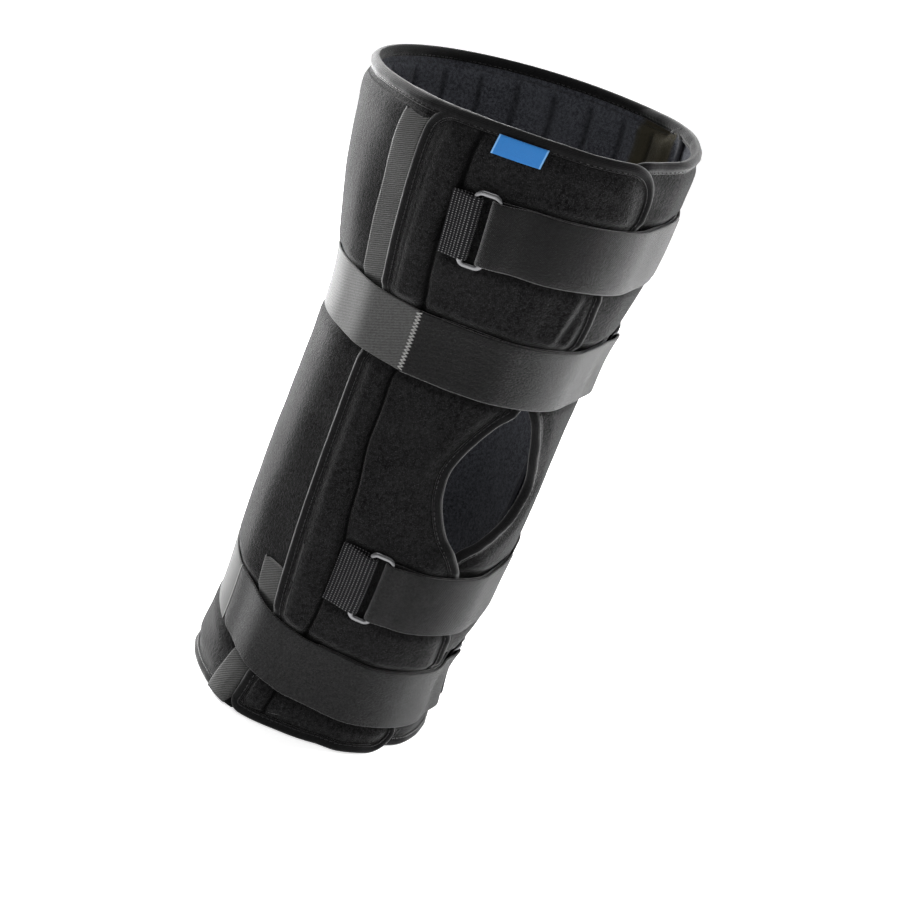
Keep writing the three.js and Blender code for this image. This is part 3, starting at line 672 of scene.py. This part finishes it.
def edge_stitches(name, points, materials):
    """Stitches that hold the tape, on both faces, at a steady spacing along the outline."""
    run = travelled(unroll(points))
    marks = np.arange(1.0, run[-1] + 1.5, STITCH_PITCH)
    line = points + inward(points) * STITCH_DEPTH
    angle, level = (np.interp(marks, run, line[:, k]) for k in (0, 1))
    ahead = [np.interp(marks + 0.5, run, line[:, k]) for k in (0, 1)]
    squeeze = pressed(angle, level)
    thick = STITCH_HEIGHT * (1 - 0.5 * squeeze) * flattened(name, angle)
    sets = []
    for side in (1, -1):
        middle = LIFTS[name](angle, level) - PANEL / 2 + side * thick - TAPE_YIELD * squeeze
        spot = place(angle, level, middle)
        sets.append((spot, place(*ahead, middle) - spot, place(angle, level, middle + side) - spot))
    beads(f"{name}_panel_stitches", *(np.concatenate(group) for group in zip(*sets)), materials)


def strap_bed(strap, width):
    """Height of a taut strap's underside: over all the fabric below its width, leaving raised edges no
    steeper than the bridge slope, and a little into the padding. Returns a function of the angle."""
    grid = np.arange(-180, 180, 0.5)
    middle = strap_level(strap, grid)
    raw = np.max([skin(grid, middle + share * width) for share in np.linspace(-0.5, 0.5, 7)], axis=0)
    gap = np.maximum(np.abs(grid[:, None] - grid) - 1.5, 0) / per_mm(strap["at"] * RIM_HEIGHT)
    high = (raw - BRIDGE_SLOPE * gap).max(1)
    kernel = np.hanning(33) / np.hanning(33).sum()
    high = np.convolve(np.pad(high, 16, mode="wrap"), kernel, mode="valid")
    return lambda angle: np.interp(angle, grid, high) - BED


# Half section of webbing: share of the half width, and share of the half thickness there.
WEBBING_EDGE = table(
    "across thick",
    (-1.0, 0.45), (-0.985, 0.85), (-0.95, 1.0), (-0.7, 0.97), (-0.35, 1.0), (0.0, 1.0), (0.35, 1.0),
    (0.7, 0.97), (0.95, 1.0), (0.985, 0.85), (1.0, 0.45),
)


def ribbon(name, strap, path, width, thick, materials, node, trim=0.0, ribs=None):
    """Webbing along a path of angles and heights of its middle: its section is a flat bar with soft edges,
    turned square to the path and drawn in a little at the ring. A trim rounds the low corner at the far
    end; ribs raise its face."""
    angle, out = path
    turn = 1 / float(per_mm(strap["at"] * RIM_HEIGHT))
    flat = np.stack([angle * turn, out], -1)
    run = travelled(flat)
    tangent = unit(np.gradient(flat, axis=0))
    across, face = there_and_back(WEBBING_EDGE["across"], WEBBING_EDGE["thick"])
    swell = np.ones_like(run) if ribs is None else ribs(run)
    offset = face * (thick / 2) * swell[:, None]
    left = np.maximum(trim - (run[-1] - run), 0)
    cut = trim - np.sqrt(np.maximum(trim**2 - left**2, 0))
    held = ramp(np.abs(angle - strap["ring"]), 16.8, 4.8)
    half = width / 2 * (1 - 0.02 * held)
    low = cut - half
    reach = low[:, None] + (across + 1) / 2 * (half - low)[:, None]
    spot = flat[:, None] + offset[..., None] * np.stack([-tangent[:, 1], tangent[:, 0]], -1)[:, None]
    sway = (0.35 * np.sin(run / 23.0 + len(name)) + 0.2 * np.sin(run / 9.0)) * (1 - held)
    verts = place(spot[..., 0] / turn, (strap_level(strap, angle) + sway)[:, None] + reach, spot[..., 1])
    make_tube(name, verts, materials, node, (run[:, None], reach))


def stations(start, stop, height, step=0.8):
    """Angles from start to stop in even steps, with the path's height at each."""
    angle = np.linspace(start, stop, max(int(abs(stop - start) / step), 2) + 1)
    return angle, height(angle)


def fold_round(angle, out, reach, sign, turn):
    """Half a turn round a ring's bar, without its two ends."""
    t = np.linspace(0, math.pi, 17)[1:-1]
    return angle + sign * reach * np.sin(t) * turn, out - reach * np.cos(t)


def join(*parts):
    """Angles and heights of several stretches as one path."""
    return tuple(np.concatenate(values) for values in zip(*parts))


def fastening(name, strap, finish):
    """One strap with its ring, keeper and hook tab, and, on all but the calf strap, the zigzag seam between
    strap and tab.
    """
    bed = strap_bed(strap, STRAP_WIDTH)
    turn = float(per_mm(strap["at"] * RIM_HEIGHT))
    side = math.copysign(1, strap["ring"])
    bar = (RING_WIDTH - WIRE) / 2
    strap_bar = strap["ring"] - side * bar * turn
    keeper_bar = strap["ring"] + side * bar * turn
    fold = WIRE / 2 + FOLD_ROOM + STRAP / 2
    keeper_fold = WIRE / 2 + FOLD_ROOM + KEEPER / 2
    bar_out = max(float(bed(strap_bar)), float(bed(keeper_bar))) + STRAP / 2 + fold - RING_SINK

    def near(angle):
        return ramp(np.abs(angle - strap_bar), SETTLE, 0)

    def under(angle):
        base = bed(angle) + STRAP / 2
        return base + (bar_out - fold - base) * near(angle)

    def over(angle):
        past = ramp(side * (strap["sewn"] - angle), 4, 13)
        flat = (under(angle) + STRAP + FOLD_GAP) * (1 - past) + (bed(angle) + STRAP / 2) * past
        return flat + (bar_out + fold - flat) * near(angle)

    path = join(stations(strap["sewn"], strap_bar, under),
                fold_round(strap_bar, bar_out, fold, side, turn),
                stations(strap_bar, strap["end"], over))
    # The two lower straps get a lighter copy of the webbing: painted light from the bright floor below them.
    cloth = finish["webbing" if strap["at"] > 0.5 else "floor_lit_webbing"]
    ribbon(f"{name}_strap_webbing", strap, path, STRAP_WIDTH, STRAP, [cloth],
           f"{name}_strap", 8.0 if name == "calf" else 0.0)
    away = math.copysign(1, strap["tab_end"] - strap["end"])
    tab = stations(strap["end"] + away * 0.25 * turn, strap["tab_end"], over)
    ribbon(f"{name}_strap_hook_end", strap, tab, STRAP_WIDTH - 0.6, STRAP * 0.95, [finish["hook_end"]],
           f"{name}_strap_hook_tab", 4.0)

    start = side * (float(look_up(GROOVE, strap["at"])) + 0.4)

    def keeper_height(resting, bar_side):
        def height(angle):
            share = ramp(angle, start, keeper_bar)
            return (bed(angle) + resting) * (1 - share) + (bar_out + bar_side * keeper_fold) * share
        return height

    keeper = join(stations(start, keeper_bar, keeper_height(KEEPER / 2, -1), 0.2),
                  fold_round(keeper_bar, bar_out, keeper_fold, -side, turn),
                  stations(keeper_bar, start, keeper_height(1.5 * KEEPER + FOLD_GAP, 1), 0.2))
    ribbon(f"{name}_strap_elastic", strap, keeper, KEEPER_WIDTH, KEEPER * 0.8, [finish["elastic"]],
           f"{name}_strap_keeper", ribs=lambda run: 1 + 0.28 * ripple(run, RIB_PITCH, math.pi / 2))
    ring(name, strap, bar_out, turn, finish["metal"])
    if name != "calf":
        seam(name, strap, over, turn, away, finish["light_thread"])


def ring(name, strap, out, turn, material):
    """A closed wire loop: a rounded rectangle, with a round section, bent along the sleeve."""
    long = STRAP_WIDTH + 2 * RING_CLEARANCE + 2 * WIRE
    half = np.array([RING_WIDTH - WIRE, long - WIRE]) / 2 - RING_CORNER
    turns = np.radians(np.concatenate([np.linspace(0, 90, 9) + 90 * k for k in range(4)]))
    normal = np.stack([np.cos(turns), np.sin(turns)], -1)
    quarter = np.repeat([[1, 1], [-1, 1], [-1, -1], [1, -1]], 9, axis=0)
    centre = quarter * half + RING_CORNER * normal
    step = np.roll(centre, -1, 0) - centre
    parts = np.where(np.linalg.norm(step, axis=1) > 2, 4, 1)
    k = np.repeat(np.arange(len(centre)), parts)
    share = (np.arange(len(k)) - (np.cumsum(parts) - parts)[k]) / 4
    centre, normal = centre[k] + step[k] * share[:, None], normal[k]
    t = np.arange(14) * 2 * math.pi / 14
    flat = centre[:, None] + normal[:, None] * (WIRE / 2 * np.cos(t))[:, None]
    angle = strap["ring"] + flat[..., 0] * turn
    verts = place(angle, strap_level(strap, angle) + flat[..., 1], out + WIRE / 2 * np.sin(t))
    make_tube(f"{name}_strap_wire_ring", verts, [material], f"{name}_strap_ring", closed=True)


def seam(name, strap, height, turn, away, material):
    """Zigzag stitching across a strap where its hook tab is sewn on: a six-sided tube of thread."""
    zigs = 17
    t = np.linspace(0, zigs, zigs * 6 + 1)
    saw = 2 * np.abs(t % 1 * 2 - 1) - 1
    angle = strap["end"] + (saw * 1.5 - away * 0.4) * turn
    level = strap_level(strap, angle) + (t / zigs - 0.5) * (STRAP_WIDTH - 2.4)
    out = height(angle) + STRAP / 2 + 0.12
    path = place(angle, level, out)
    tangent = unit(np.gradient(path, axis=0))
    side = unit(np.cross(place(angle, level, out + 1) - path, tangent))
    rise = np.cross(tangent, side)
    turns = (np.arange(6) * math.pi / 3)[:, None]
    verts = path[:, None] + 0.34 * MM * (np.cos(turns) * side[:, None] + np.sin(turns) * rise[:, None])
    make_tube(f"{name}_strap_seam", verts, [material])


def hook_tab(name, side, tab, material):
    """A flat tab behind a side panel's edge: rows up the sleeve of a thin bar with soft edges, its top
    row a little frayed."""
    rows = 60
    share = np.linspace(0, 1, rows)[:, None]
    at = tab["low"] + (tab["high"] - tab["low"]) * share
    level = at * RIM_HEIGHT
    show = tab["show_low"] + (tab["show_high"] - tab["show_low"]) * share
    spread, face = there_and_back(np.array([0.0, 0.01, 0.05, 0.2, 0.4, 0.6, 0.8, 0.95, 0.99, 1.0]),
                                  np.array([0.3, 0.8, 1.0, 1.0, 1.0, 1.0, 1.0, 1.0, 0.8, 0.3]))
    angle = side * (look_up(BACK_EDGE, at) + TAB_GAP * per_mm(level) + show * spread)
    flat = np.where(np.minimum(share, 1 - share) * rows < 1, 0.5, 1.0)
    squeeze = pressed(angle, level)
    rest = back_lift(angle, np.minimum(level, RIM_HEIGHT - 16))
    out = rest + 0.9 + face * (TAB * 0.36) * flat - TAB_PRESS * squeeze
    fray = (share == 1) * 0.8 * np.sin(spread * 97) * (spread * (1 - spread) > 0)
    make_tube(f"{name}_grip", place(angle, level + fray, out), [material], name,
              (np.abs(angle) / KNEE_PER_MM, level + fray))


def woven_label(materials):
    """The small label: a thin slab with folded ends, laid on the padding."""
    wide, tall, thick = LABEL_SIZE
    level = RIM_HEIGHT - LABEL_BELOW_RIM - tall / 2
    along = np.linspace(-0.5, 0.5, 55) * wide
    spread, face = there_and_back(np.array([-1, -0.97, -0.8, -0.4, 0, 0.4, 0.8, 0.97, 1.0]) * tall / 2,
                                  np.array([0.35, 0.9, 1, 1, 1, 1, 1, 0.9, 0.35]))
    hem = 1 + 0.45 * ramp(np.abs(along), wide / 2 - 2.6, wide / 2 - 2.1)
    end = np.where(np.abs(along) > wide / 2 - 0.2, 0.4, 1.0)
    angle = LABEL_ANGLE + along * float(per_mm(level))
    bed = np.maximum(*(skin(angle + ahead, np.full_like(angle, level)) for ahead in (0, 3))) + 1.5
    out = bed[:, None] + face * (thick / 2) * (hem * end)[:, None]
    make_tube("woven_label_plain", place(angle[:, None], level + spread, out), materials,
              "woven_label", (along[:, None] + wide / 2, spread + tall / 2))


class Signal:
    """An output of a shader node; arithmetic with it adds math nodes."""

    def __init__(self, nodes, socket):
        self.nodes, self.socket = nodes, socket

    def __add__(self, other):
        return self.nodes.math("ADD", self, other)

    def __sub__(self, other):
        return self.nodes.math("SUBTRACT", self, other)

    def __mul__(self, other):
        return self.nodes.math("MULTIPLY", self, other)

    def __truediv__(self, other):
        return self.nodes.math("DIVIDE", self, other)


class Nodes:
    """A short way to add and join shader nodes in one tree."""

    def __init__(self, tree):
        self.tree = tree

    def put(self, socket, value):
        """Give an input a number or a colour, or join a signal to it."""
        if isinstance(value, Signal):
            self.tree.links.new(value.socket, socket)
        else:
            socket.default_value = (*value, 1.0) if isinstance(value, tuple) else value

    def set(self, node, **values):
        """Give a node's inputs their values by name."""
        for key, value in values.items():
            self.put(node.inputs[key.replace("_", " ")], value)
        return node

    def outputs(self, node):
        """A node's outputs by name, as signals."""
        return {socket.name: Signal(self, socket) for socket in node.outputs}

    def add(self, kind, **values):
        return self.set(self.tree.nodes.new("ShaderNode" + kind), **values)

    def math(self, operation, *values, clamp=False):
        node = self.add("Math")
        node.operation, node.use_clamp = operation, clamp
        for socket, value in zip(node.inputs, values):
            self.put(socket, value)
        return Signal(self, node.outputs[0])

    def noise(self, vector, scale, detail=3.0, roughness=0.6):
        node = self.add("TexNoise", Vector=vector, Scale=scale, Detail=detail, Roughness=roughness)
        return self.outputs(node)["Fac"]

    def remap(self, value, low, high):
        """A signal brought from low and high to 0 and 1, and held there."""
        return Signal(self, self.add("MapRange", Value=value, From_Min=low, From_Max=high).outputs[0])

    def mix(self, factor, a, b):
        """A colour between two, by a factor."""
        node = self.add("Mix")
        node.data_type = "RGBA"
        for k, value in ((0, factor), (6, a), (7, b)):
            self.put(node.inputs[k], value)
        return Signal(self, node.outputs[2])

    def group(self, tree, **values):
        node = self.add("Group")
        node.node_tree = tree
        return self.outputs(self.set(node, **values))

    def attribute(self, name):
        node = self.add("Attribute")
        node.attribute_name = name
        return self.outputs(node)["Fac"]

    def split(self, vector):
        return self.outputs(self.add("SeparateXYZ", Vector=vector))


def new_group(name, **inputs):
    """A shader node group's nodes and its named inputs: numbers, or a vector where no number is given."""
    tree = bpy.data.node_groups.new(name, "ShaderNodeTree")
    for label, value in inputs.items():
        kind = "NodeSocketVector" if value is None else "NodeSocketFloat"
        socket = tree.interface.new_socket(name=label.replace("_", " "), in_out="INPUT", socket_type=kind)
        if value is not None:
            socket.default_value = value
    n = Nodes(tree)
    return n, n.outputs(tree.nodes.new("NodeGroupInput"))


def close_group(n, **results):
    """Join a group's results to outputs of their names, and give its tree."""
    for label in results:
        n.tree.interface.new_socket(name=label, in_out="OUTPUT", socket_type="NodeSocketFloat")
    n.set(n.tree.nodes.new("NodeGroupOutput"), **results)
    return n.tree


def pile_group():
    """Brushed pile: matted tufts, single fibres and slow shading, from a position in metres."""
    n, source = new_group("brushed pile", Position=None, Tuft_Scale=420.0)
    position = source["Position"]
    tufts = n.noise(position, source["Tuft Scale"], 4.0, 0.7)
    fine = n.noise(position, 1500.0, 2.0, 0.6)
    slow = n.noise(position, 28.0, 3.0, 0.55)
    flecks = n.noise(position, 2100.0, 1.0, 0.5)
    return close_group(n, Height=tufts * 0.65 + fine * 0.35, Fibre=n.remap(flecks, 0.60, 0.74),
                       Shade=n.remap(slow, 0.32, 0.70))


def twill_group():
    """Slanting woven ribs over the cloth's own UV map, in metres, broken up by a little noise."""
    n, source = new_group("twill weave", Cloth=None, Pitch=0.0011, Slant=0.7)
    flat = n.split(source["Cloth"])
    wobble = n.noise(source["Cloth"], 700.0, 2.0) * 0.0005
    turns = (flat["X"] * source["Slant"] + flat["Y"] + wobble) / source["Pitch"]
    ribs = n.math("SINE", turns * (2 * math.pi))
    cross = n.math("SINE", flat["X"] / source["Pitch"] * (4 * math.pi))
    return close_group(n, Height=ribs * 0.36 + cross * 0.14 + 0.5)


def wear_group():
    """Soft scuffs and lint: sparse pale marks of two sizes, from a position in metres."""
    n, source = new_group("lint and wear", Position=None, Amount=0.5)
    lint = n.remap(n.noise(source["Position"], 760.0, 2.0, 0.5), 0.70, 0.80)
    clouds = n.remap(n.noise(source["Position"], 46.0, 4.0, 0.6), 0.52, 0.78)
    return close_group(n, Mask=n.math("MULTIPLY", lint * 0.6 + clouds * 0.4, source["Amount"], clamp=True))


GROUPS = {"pile": pile_group(), "twill": twill_group(), "wear": wear_group()}


class Surface(Nodes):
    """The nodes of a new material: its principled shader, with the object's own position and the cloth
    map as sources, and the patterns over them."""

    def __init__(self, name, **values):
        self.material = bpy.data.materials.new(name)
        self.material.use_nodes = True
        super().__init__(self.material.node_tree)
        self.shader = self.set(self.tree.nodes["Principled BSDF"], **values)
        source = self.outputs(self.add("TexCoord"))
        self.position, self.cloth = source["Object"], source["UV"]

    def pile(self, scale):
        return self.group(GROUPS["pile"], Position=self.position, Tuft_Scale=scale)

    def wear(self, amount):
        return self.group(GROUPS["wear"], Position=self.position, Amount=amount)["Mask"]

    def weave(self, pitch, slant):
        return self.group(GROUPS["twill"], Cloth=self.cloth, Pitch=pitch, Slant=slant)["Height"]

    def finish(self, colour, height=None, depth=0.0):
        """Join the colour and the bump of a height, whose depth is in metres. Gives the material."""
        self.set(self.shader, Base_Color=colour)
        if height:
            bump = self.outputs(self.add("Bump", Distance=depth, Strength=1.0, Height=height))
            self.set(self.shader, Normal=bump["Normal"])
        return self.material


def cloth_surface(name, roughness, sheen, sheen_roughness, specular):
    """A cloth material's nodes."""
    return Surface(name, Roughness=roughness, Sheen_Weight=sheen, Sheen_Roughness=sheen_roughness,
                   Specular_IOR_Level=specular)


def fleece_material(name, dark, light, fleck, sheen, crease_shade_share=0.9, patch_colour=None):
    """Brushed fleece: dark and light tufts, pale single fibres and slow shading, with painted shade that
    darkens the slits, seams and lining channels to near black; a patch of another colour where one is sewn
    in."""
    n = cloth_surface(name, 0.95, sheen, 0.4, 0.03)
    pile = n.pile(520.0)
    base = n.mix(n.remap(pile["Height"], 0.42, 0.58), dark, light)
    shaded = n.mix(pile["Shade"] * 0.35, base, light)
    flecked = n.mix(pile["Fibre"] * 0.38, shaded, fleck)
    worn = n.mix(n.wear(0.35) * 0.35, flecked, fleck)
    if patch_colour:
        tinted = n.mix(pile["Height"], tuple(0.4 * c for c in patch_colour), patch_colour)
        worn = n.mix(n.attribute("patch"), worn, tinted)
    # Painted shade: the colour is darkened to near black in the slits, seams and lining channels.
    crease = n.remap(n.attribute("crease"), 0.25, 0.85) * crease_shade_share
    return n.finish(n.mix(crease, worn, (0.0008, 0.0008, 0.0009)), pile["Height"], 0.0012)


def woven_material(name, dark, light, pitch, slant, depth, sheen, roughness, pile):
    """Woven cloth with some pile: ribs along the UV map, flecks and a fine bump."""
    n = cloth_surface(name, roughness, sheen, 0.35, 0.08)
    fuzz = n.pile(760.0)
    both = n.weave(pitch, slant) * (1 - pile) + fuzz["Height"] * pile
    base = n.mix(n.remap(both, 0.36, 0.64), dark, light)
    flecked = n.mix(fuzz["Fibre"] * 0.4, base, light)
    return n.finish(n.mix(n.wear(0.25) * 0.3, flecked, light), both, depth)


def elastic_material(name):
    """Elastic webbing: dark ribs with pale dots on their crests, partly pale picks of thread and partly a
    painted highlight of the crests.
    """
    n = cloth_surface(name, 0.8, 0.06, 0.4, 0.15)
    flat = n.split(n.cloth)
    crest = n.remap(n.math("COSINE", flat["X"] * (2 * math.pi / (RIB_PITCH * MM))), 0.3, 0.95)
    picks = n.remap(n.math("SINE", flat["Y"] * (2 * math.pi / (1.3 * MM))), 0.1, 0.9)
    # Pale dots on the rib crests: pale picks, and a painted highlight where the crests catch the light.
    picks_and_highlights = crest * picks * n.remap(n.pile(1200.0)["Height"], 0.2, 0.6)
    colour = n.mix(picks_and_highlights, (0.003, 0.003, 0.004), (0.27, 0.27, 0.275))
    return n.finish(colour, crest * 0.5 + picks * 0.5, 0.0003)


def metal_material(name):
    """Plated wire: bright, with faint drawing marks and slightly duller worn patches."""
    n = Surface(name, Metallic=1.0)
    wear = n.wear(0.8)
    marks = n.noise(n.position, 1400.0, 3.0)
    n.set(n.shader, Roughness=marks * 0.14 + wear * 0.12 + 0.14)
    return n.finish(n.mix(wear, (0.17, 0.17, 0.175), (0.08, 0.08, 0.085)), marks, 0.00004)


def label_material(name):
    """Damask label: fine blue threads, with a paler strip at each folded end."""
    n = cloth_surface(name, 0.55, 0.15, 0.3, 0.4)
    weave = n.weave(0.0004, 0.15)
    blue = n.mix(weave, (0.001, 0.07, 0.27), (0.004, 0.19, 0.52))
    half = LABEL_SIZE[0] / 2
    from_middle = n.math("ABSOLUTE", n.split(n.cloth)["X"] - half * MM)
    strip = n.remap(from_middle, (half - 1.1) * MM, (half - 0.8) * MM)
    return n.finish(n.mix(strip * 0.5, blue, (0.25, 0.50, 0.78)), weave, 0.00008)


def thread_material(name, colour):
    """Sewing thread: one colour, lightened on its raised fibres."""
    n = cloth_surface(name, 0.6, 0.3, 0.4, 0.3)
    raised = n.remap(n.pile(2400.0)["Height"], 0.3, 0.6)
    return n.finish(n.mix(raised, tuple(0.45 * c for c in colour), colour))


def floor_material():
    """Matt white paper that glows a little, with very faint clouding."""
    n = Surface("pale floor", Roughness=0.8, Specular_IOR_Level=0.2, Emission_Color=(1.0, 1.0, 1.0),
                Emission_Strength=0.62)
    return n.finish(n.mix(n.noise(n.position, 1.5, 2.0), (0.86, 0.86, 0.86), (0.89, 0.89, 0.89)))


def link(name, data, matrix=None):
    """A new object in the scene."""
    thing = bpy.data.objects.new(name, data)
    if matrix:
        thing.matrix_world = matrix
    bpy.context.scene.collection.objects.link(thing)
    return thing


def make_camera():
    """The photo's view: from the front and the wearer's left of centre, a little above, rolled so that
    the sleeve leans as it does there."""
    azimuth, elevation, roll = (math.radians(v) for v in (-45.0, 17.97, 21.68))
    distance, lens, sensor, frame_px = 0.9352, 60.97, 36.0, 900.0
    seen_at = (426.8, 398.2)
    target = Vector((AXIS[0] * MM, AXIS[1] * MM, 0.2012))
    flat = math.cos(elevation)
    back = Vector((math.sin(azimuth) * flat, -math.cos(azimuth) * flat, math.sin(elevation)))
    level = Vector((math.cos(azimuth), math.sin(azimuth), 0))
    right = level * math.cos(roll) + back.cross(level) * math.sin(roll)
    up = back.cross(level) * math.cos(roll) - level * math.sin(roll)
    pixel = distance / (lens / sensor * frame_px)
    shift_right, shift_down = ((at - frame_px / 2) * pixel for at in seen_at)
    eye = target + back * distance - right * shift_right + up * shift_down
    data = bpy.data.cameras.new("view")
    data.lens, data.sensor_width, data.clip_end = lens, sensor, 50
    turn = Matrix((right, up, back)).transposed().to_4x4()
    bpy.context.scene.camera = link("view", data, Matrix.Translation(eye) @ turn)


WINDOW = {"shape": "RECTANGLE", "size": 0.6, "size_y": 1.2}
# Lights in metres and watts: large soft ones, one behind on each side, which graze the sleeve, and a weak
# one overhead, with a faint glow inside the sleeve.
LIGHTS = (
    ("left_window", "AREA", (-0.06, 2.0, 0.45), 250, WINDOW),
    ("right_window", "AREA", (1.92, -0.36, 0.45), 115, WINDOW),
    ("overhead", "AREA", (-0.2, 0.2, 2.1), 10, {"shape": "RECTANGLE", "size": 1.2, "size_y": 1.2}),
    ("lining_glow", "POINT", (-0.01, -0.01, 0.26), 0.20, {"shadow_soft_size": 0.03}),
)
AIM = Vector((0, 0, 0.2))
FLAT_FLOOR = 4.0


def make_lights():
    """The lights, turned to the sleeve's middle. None is seen itself."""
    for name, kind, position, power, values in LIGHTS:
        data = bpy.data.lights.new(name, kind)
        data.energy = power
        for key, value in values.items():
            setattr(data, key, value)
        turn = (AIM - Vector(position)).to_track_quat("-Z", "Y").to_matrix().to_4x4()
        link(name, data, Matrix.Translation(position) @ turn).visible_camera = False


def make_studio():
    """A pale floor that sweeps up far away, and an even surround."""
    reach = np.concatenate([[0.0, 1.0, 2.0, 3.0], np.linspace(FLAT_FLOOR, 12.0, 25)])[:, None]
    turn = np.linspace(0, 2 * math.pi, 65)[:-1]
    rise = 0.06 * np.maximum(reach - FLAT_FLOOR, 0) ** 2
    verts = np.stack(np.broadcast_arrays(reach * np.cos(turn), reach * np.sin(turn), rise), -1)
    index = wrapped(np.arange(verts[..., 0].size).reshape(verts.shape[:2]))
    mesh = bpy.data.meshes.new("floor")
    mesh.from_pydata(verts.reshape(-1, 3).tolist(), [], grid_faces(index)[:, ::-1].tolist())
    mesh.polygons.foreach_set("use_smooth", np.ones(len(mesh.polygons), bool))
    mesh.materials.append(floor_material())
    link("floor", mesh)
    world = bpy.data.worlds.new("surround")
    world.use_nodes = True
    Nodes(world.node_tree).set(world.node_tree.nodes["Background"], Color=(1.0, 1.0, 1.0), Strength=0.4)
    bpy.context.scene.world = world
    bpy.context.scene.view_settings.view_transform = "Standard"


# Woven cloths: dark and light colour, pitch and slant of the ribs, depth of the bump in metres, sheen,
# roughness, and the share of pile over the weave.
WOVEN = {
    "tape": ("black tape", (0.002, 0.002, 0.0022), (0.009, 0.009, 0.0093),
             0.0009, 0.0, 0.00025, 0.28, 0.9, 0.75),
    "lining_tape": ("slate tape", (0.012, 0.0125, 0.015), (0.040, 0.042, 0.048),
                    0.0009, 0.0, 0.00025, 0.1, 0.9, 0.75),
    "webbing": ("charcoal webbing", (0.0006, 0.0006, 0.0007), (0.0140, 0.0140, 0.0143),
                0.0008, 0.5, 0.0009, 0.60, 0.85, 0.7),
    # A lighter copy of the webbing, with painted light from the floor, for the two lower straps.
    "floor_lit_webbing": ("faded webbing", (0.002, 0.002, 0.0021), (0.030, 0.030, 0.0304),
                      0.0008, 0.5, 0.0008, 0.26, 0.85, 0.7),
    "hook": ("grey hook cloth", (0.025, 0.025, 0.0246), (0.073, 0.073, 0.072),
             0.0012, 0.55, 0.00022, 0.22, 0.75, 0.5),
    "hook_end": ("pale hook cloth", (0.024, 0.024, 0.0237), (0.072, 0.072, 0.071),
                 0.0010, 0.55, 0.00018, 0.15, 0.75, 0.65),
}


def make_finishes():
    """Every material of the pieces, by what it is used for."""
    finish = {key: woven_material(*values) for key, values in WOVEN.items()}
    finish["fleece"] = fleece_material("black fleece", (0.0006, 0.0006, 0.0007), (0.0115, 0.0115, 0.0118),
                                       (0.085, 0.085, 0.087), 0.14)
    finish["lining"] = fleece_material("slate lining", (0.016, 0.017, 0.021), (0.064, 0.067, 0.077),
                                       (0.15, 0.155, 0.175), 0.06, 0.55, (0.048, 0.043, 0.029))
    finish["elastic"] = elastic_material("ribbed elastic")
    finish["metal"] = metal_material("plated wire")
    finish["label"] = label_material("blue label")
    finish["light_thread"] = thread_material("grey thread", (0.34, 0.34, 0.33))
    finish["dark_thread"] = thread_material("black thread", (0.006, 0.006, 0.0065))
    return finish


def main():
    """The camera and studio, then the panels, their tapes and stitches, the straps, tabs and label."""
    make_camera()
    make_studio()
    make_lights()
    finish = make_finishes()
    for name, spacing in (("back", 2.4), ("left", 1.2), ("right", 1.2)):
        padded_panel(name, *outlines(spacing)[name], [finish["fleece"], finish["lining"]])
    for name, (points, _) in outlines(1.6).items():
        binding(name, points, [finish["tape"], finish["lining_tape"]])
        edge_stitches(name, points, [finish["dark_thread"]])
    for name, strap in STRAPS.items():
        fastening(name, strap, finish)
    for side_name, side in (("left", -1), ("right", 1)):
        rim_cap(side_name, side, [finish["tape"]])
        for tab_name, tab in HOOK_TABS.items():
            hook_tab(f"{side_name}_{tab_name}_hook_tab", side, tab, finish["hook"])
    woven_label([finish["label"]])


main()
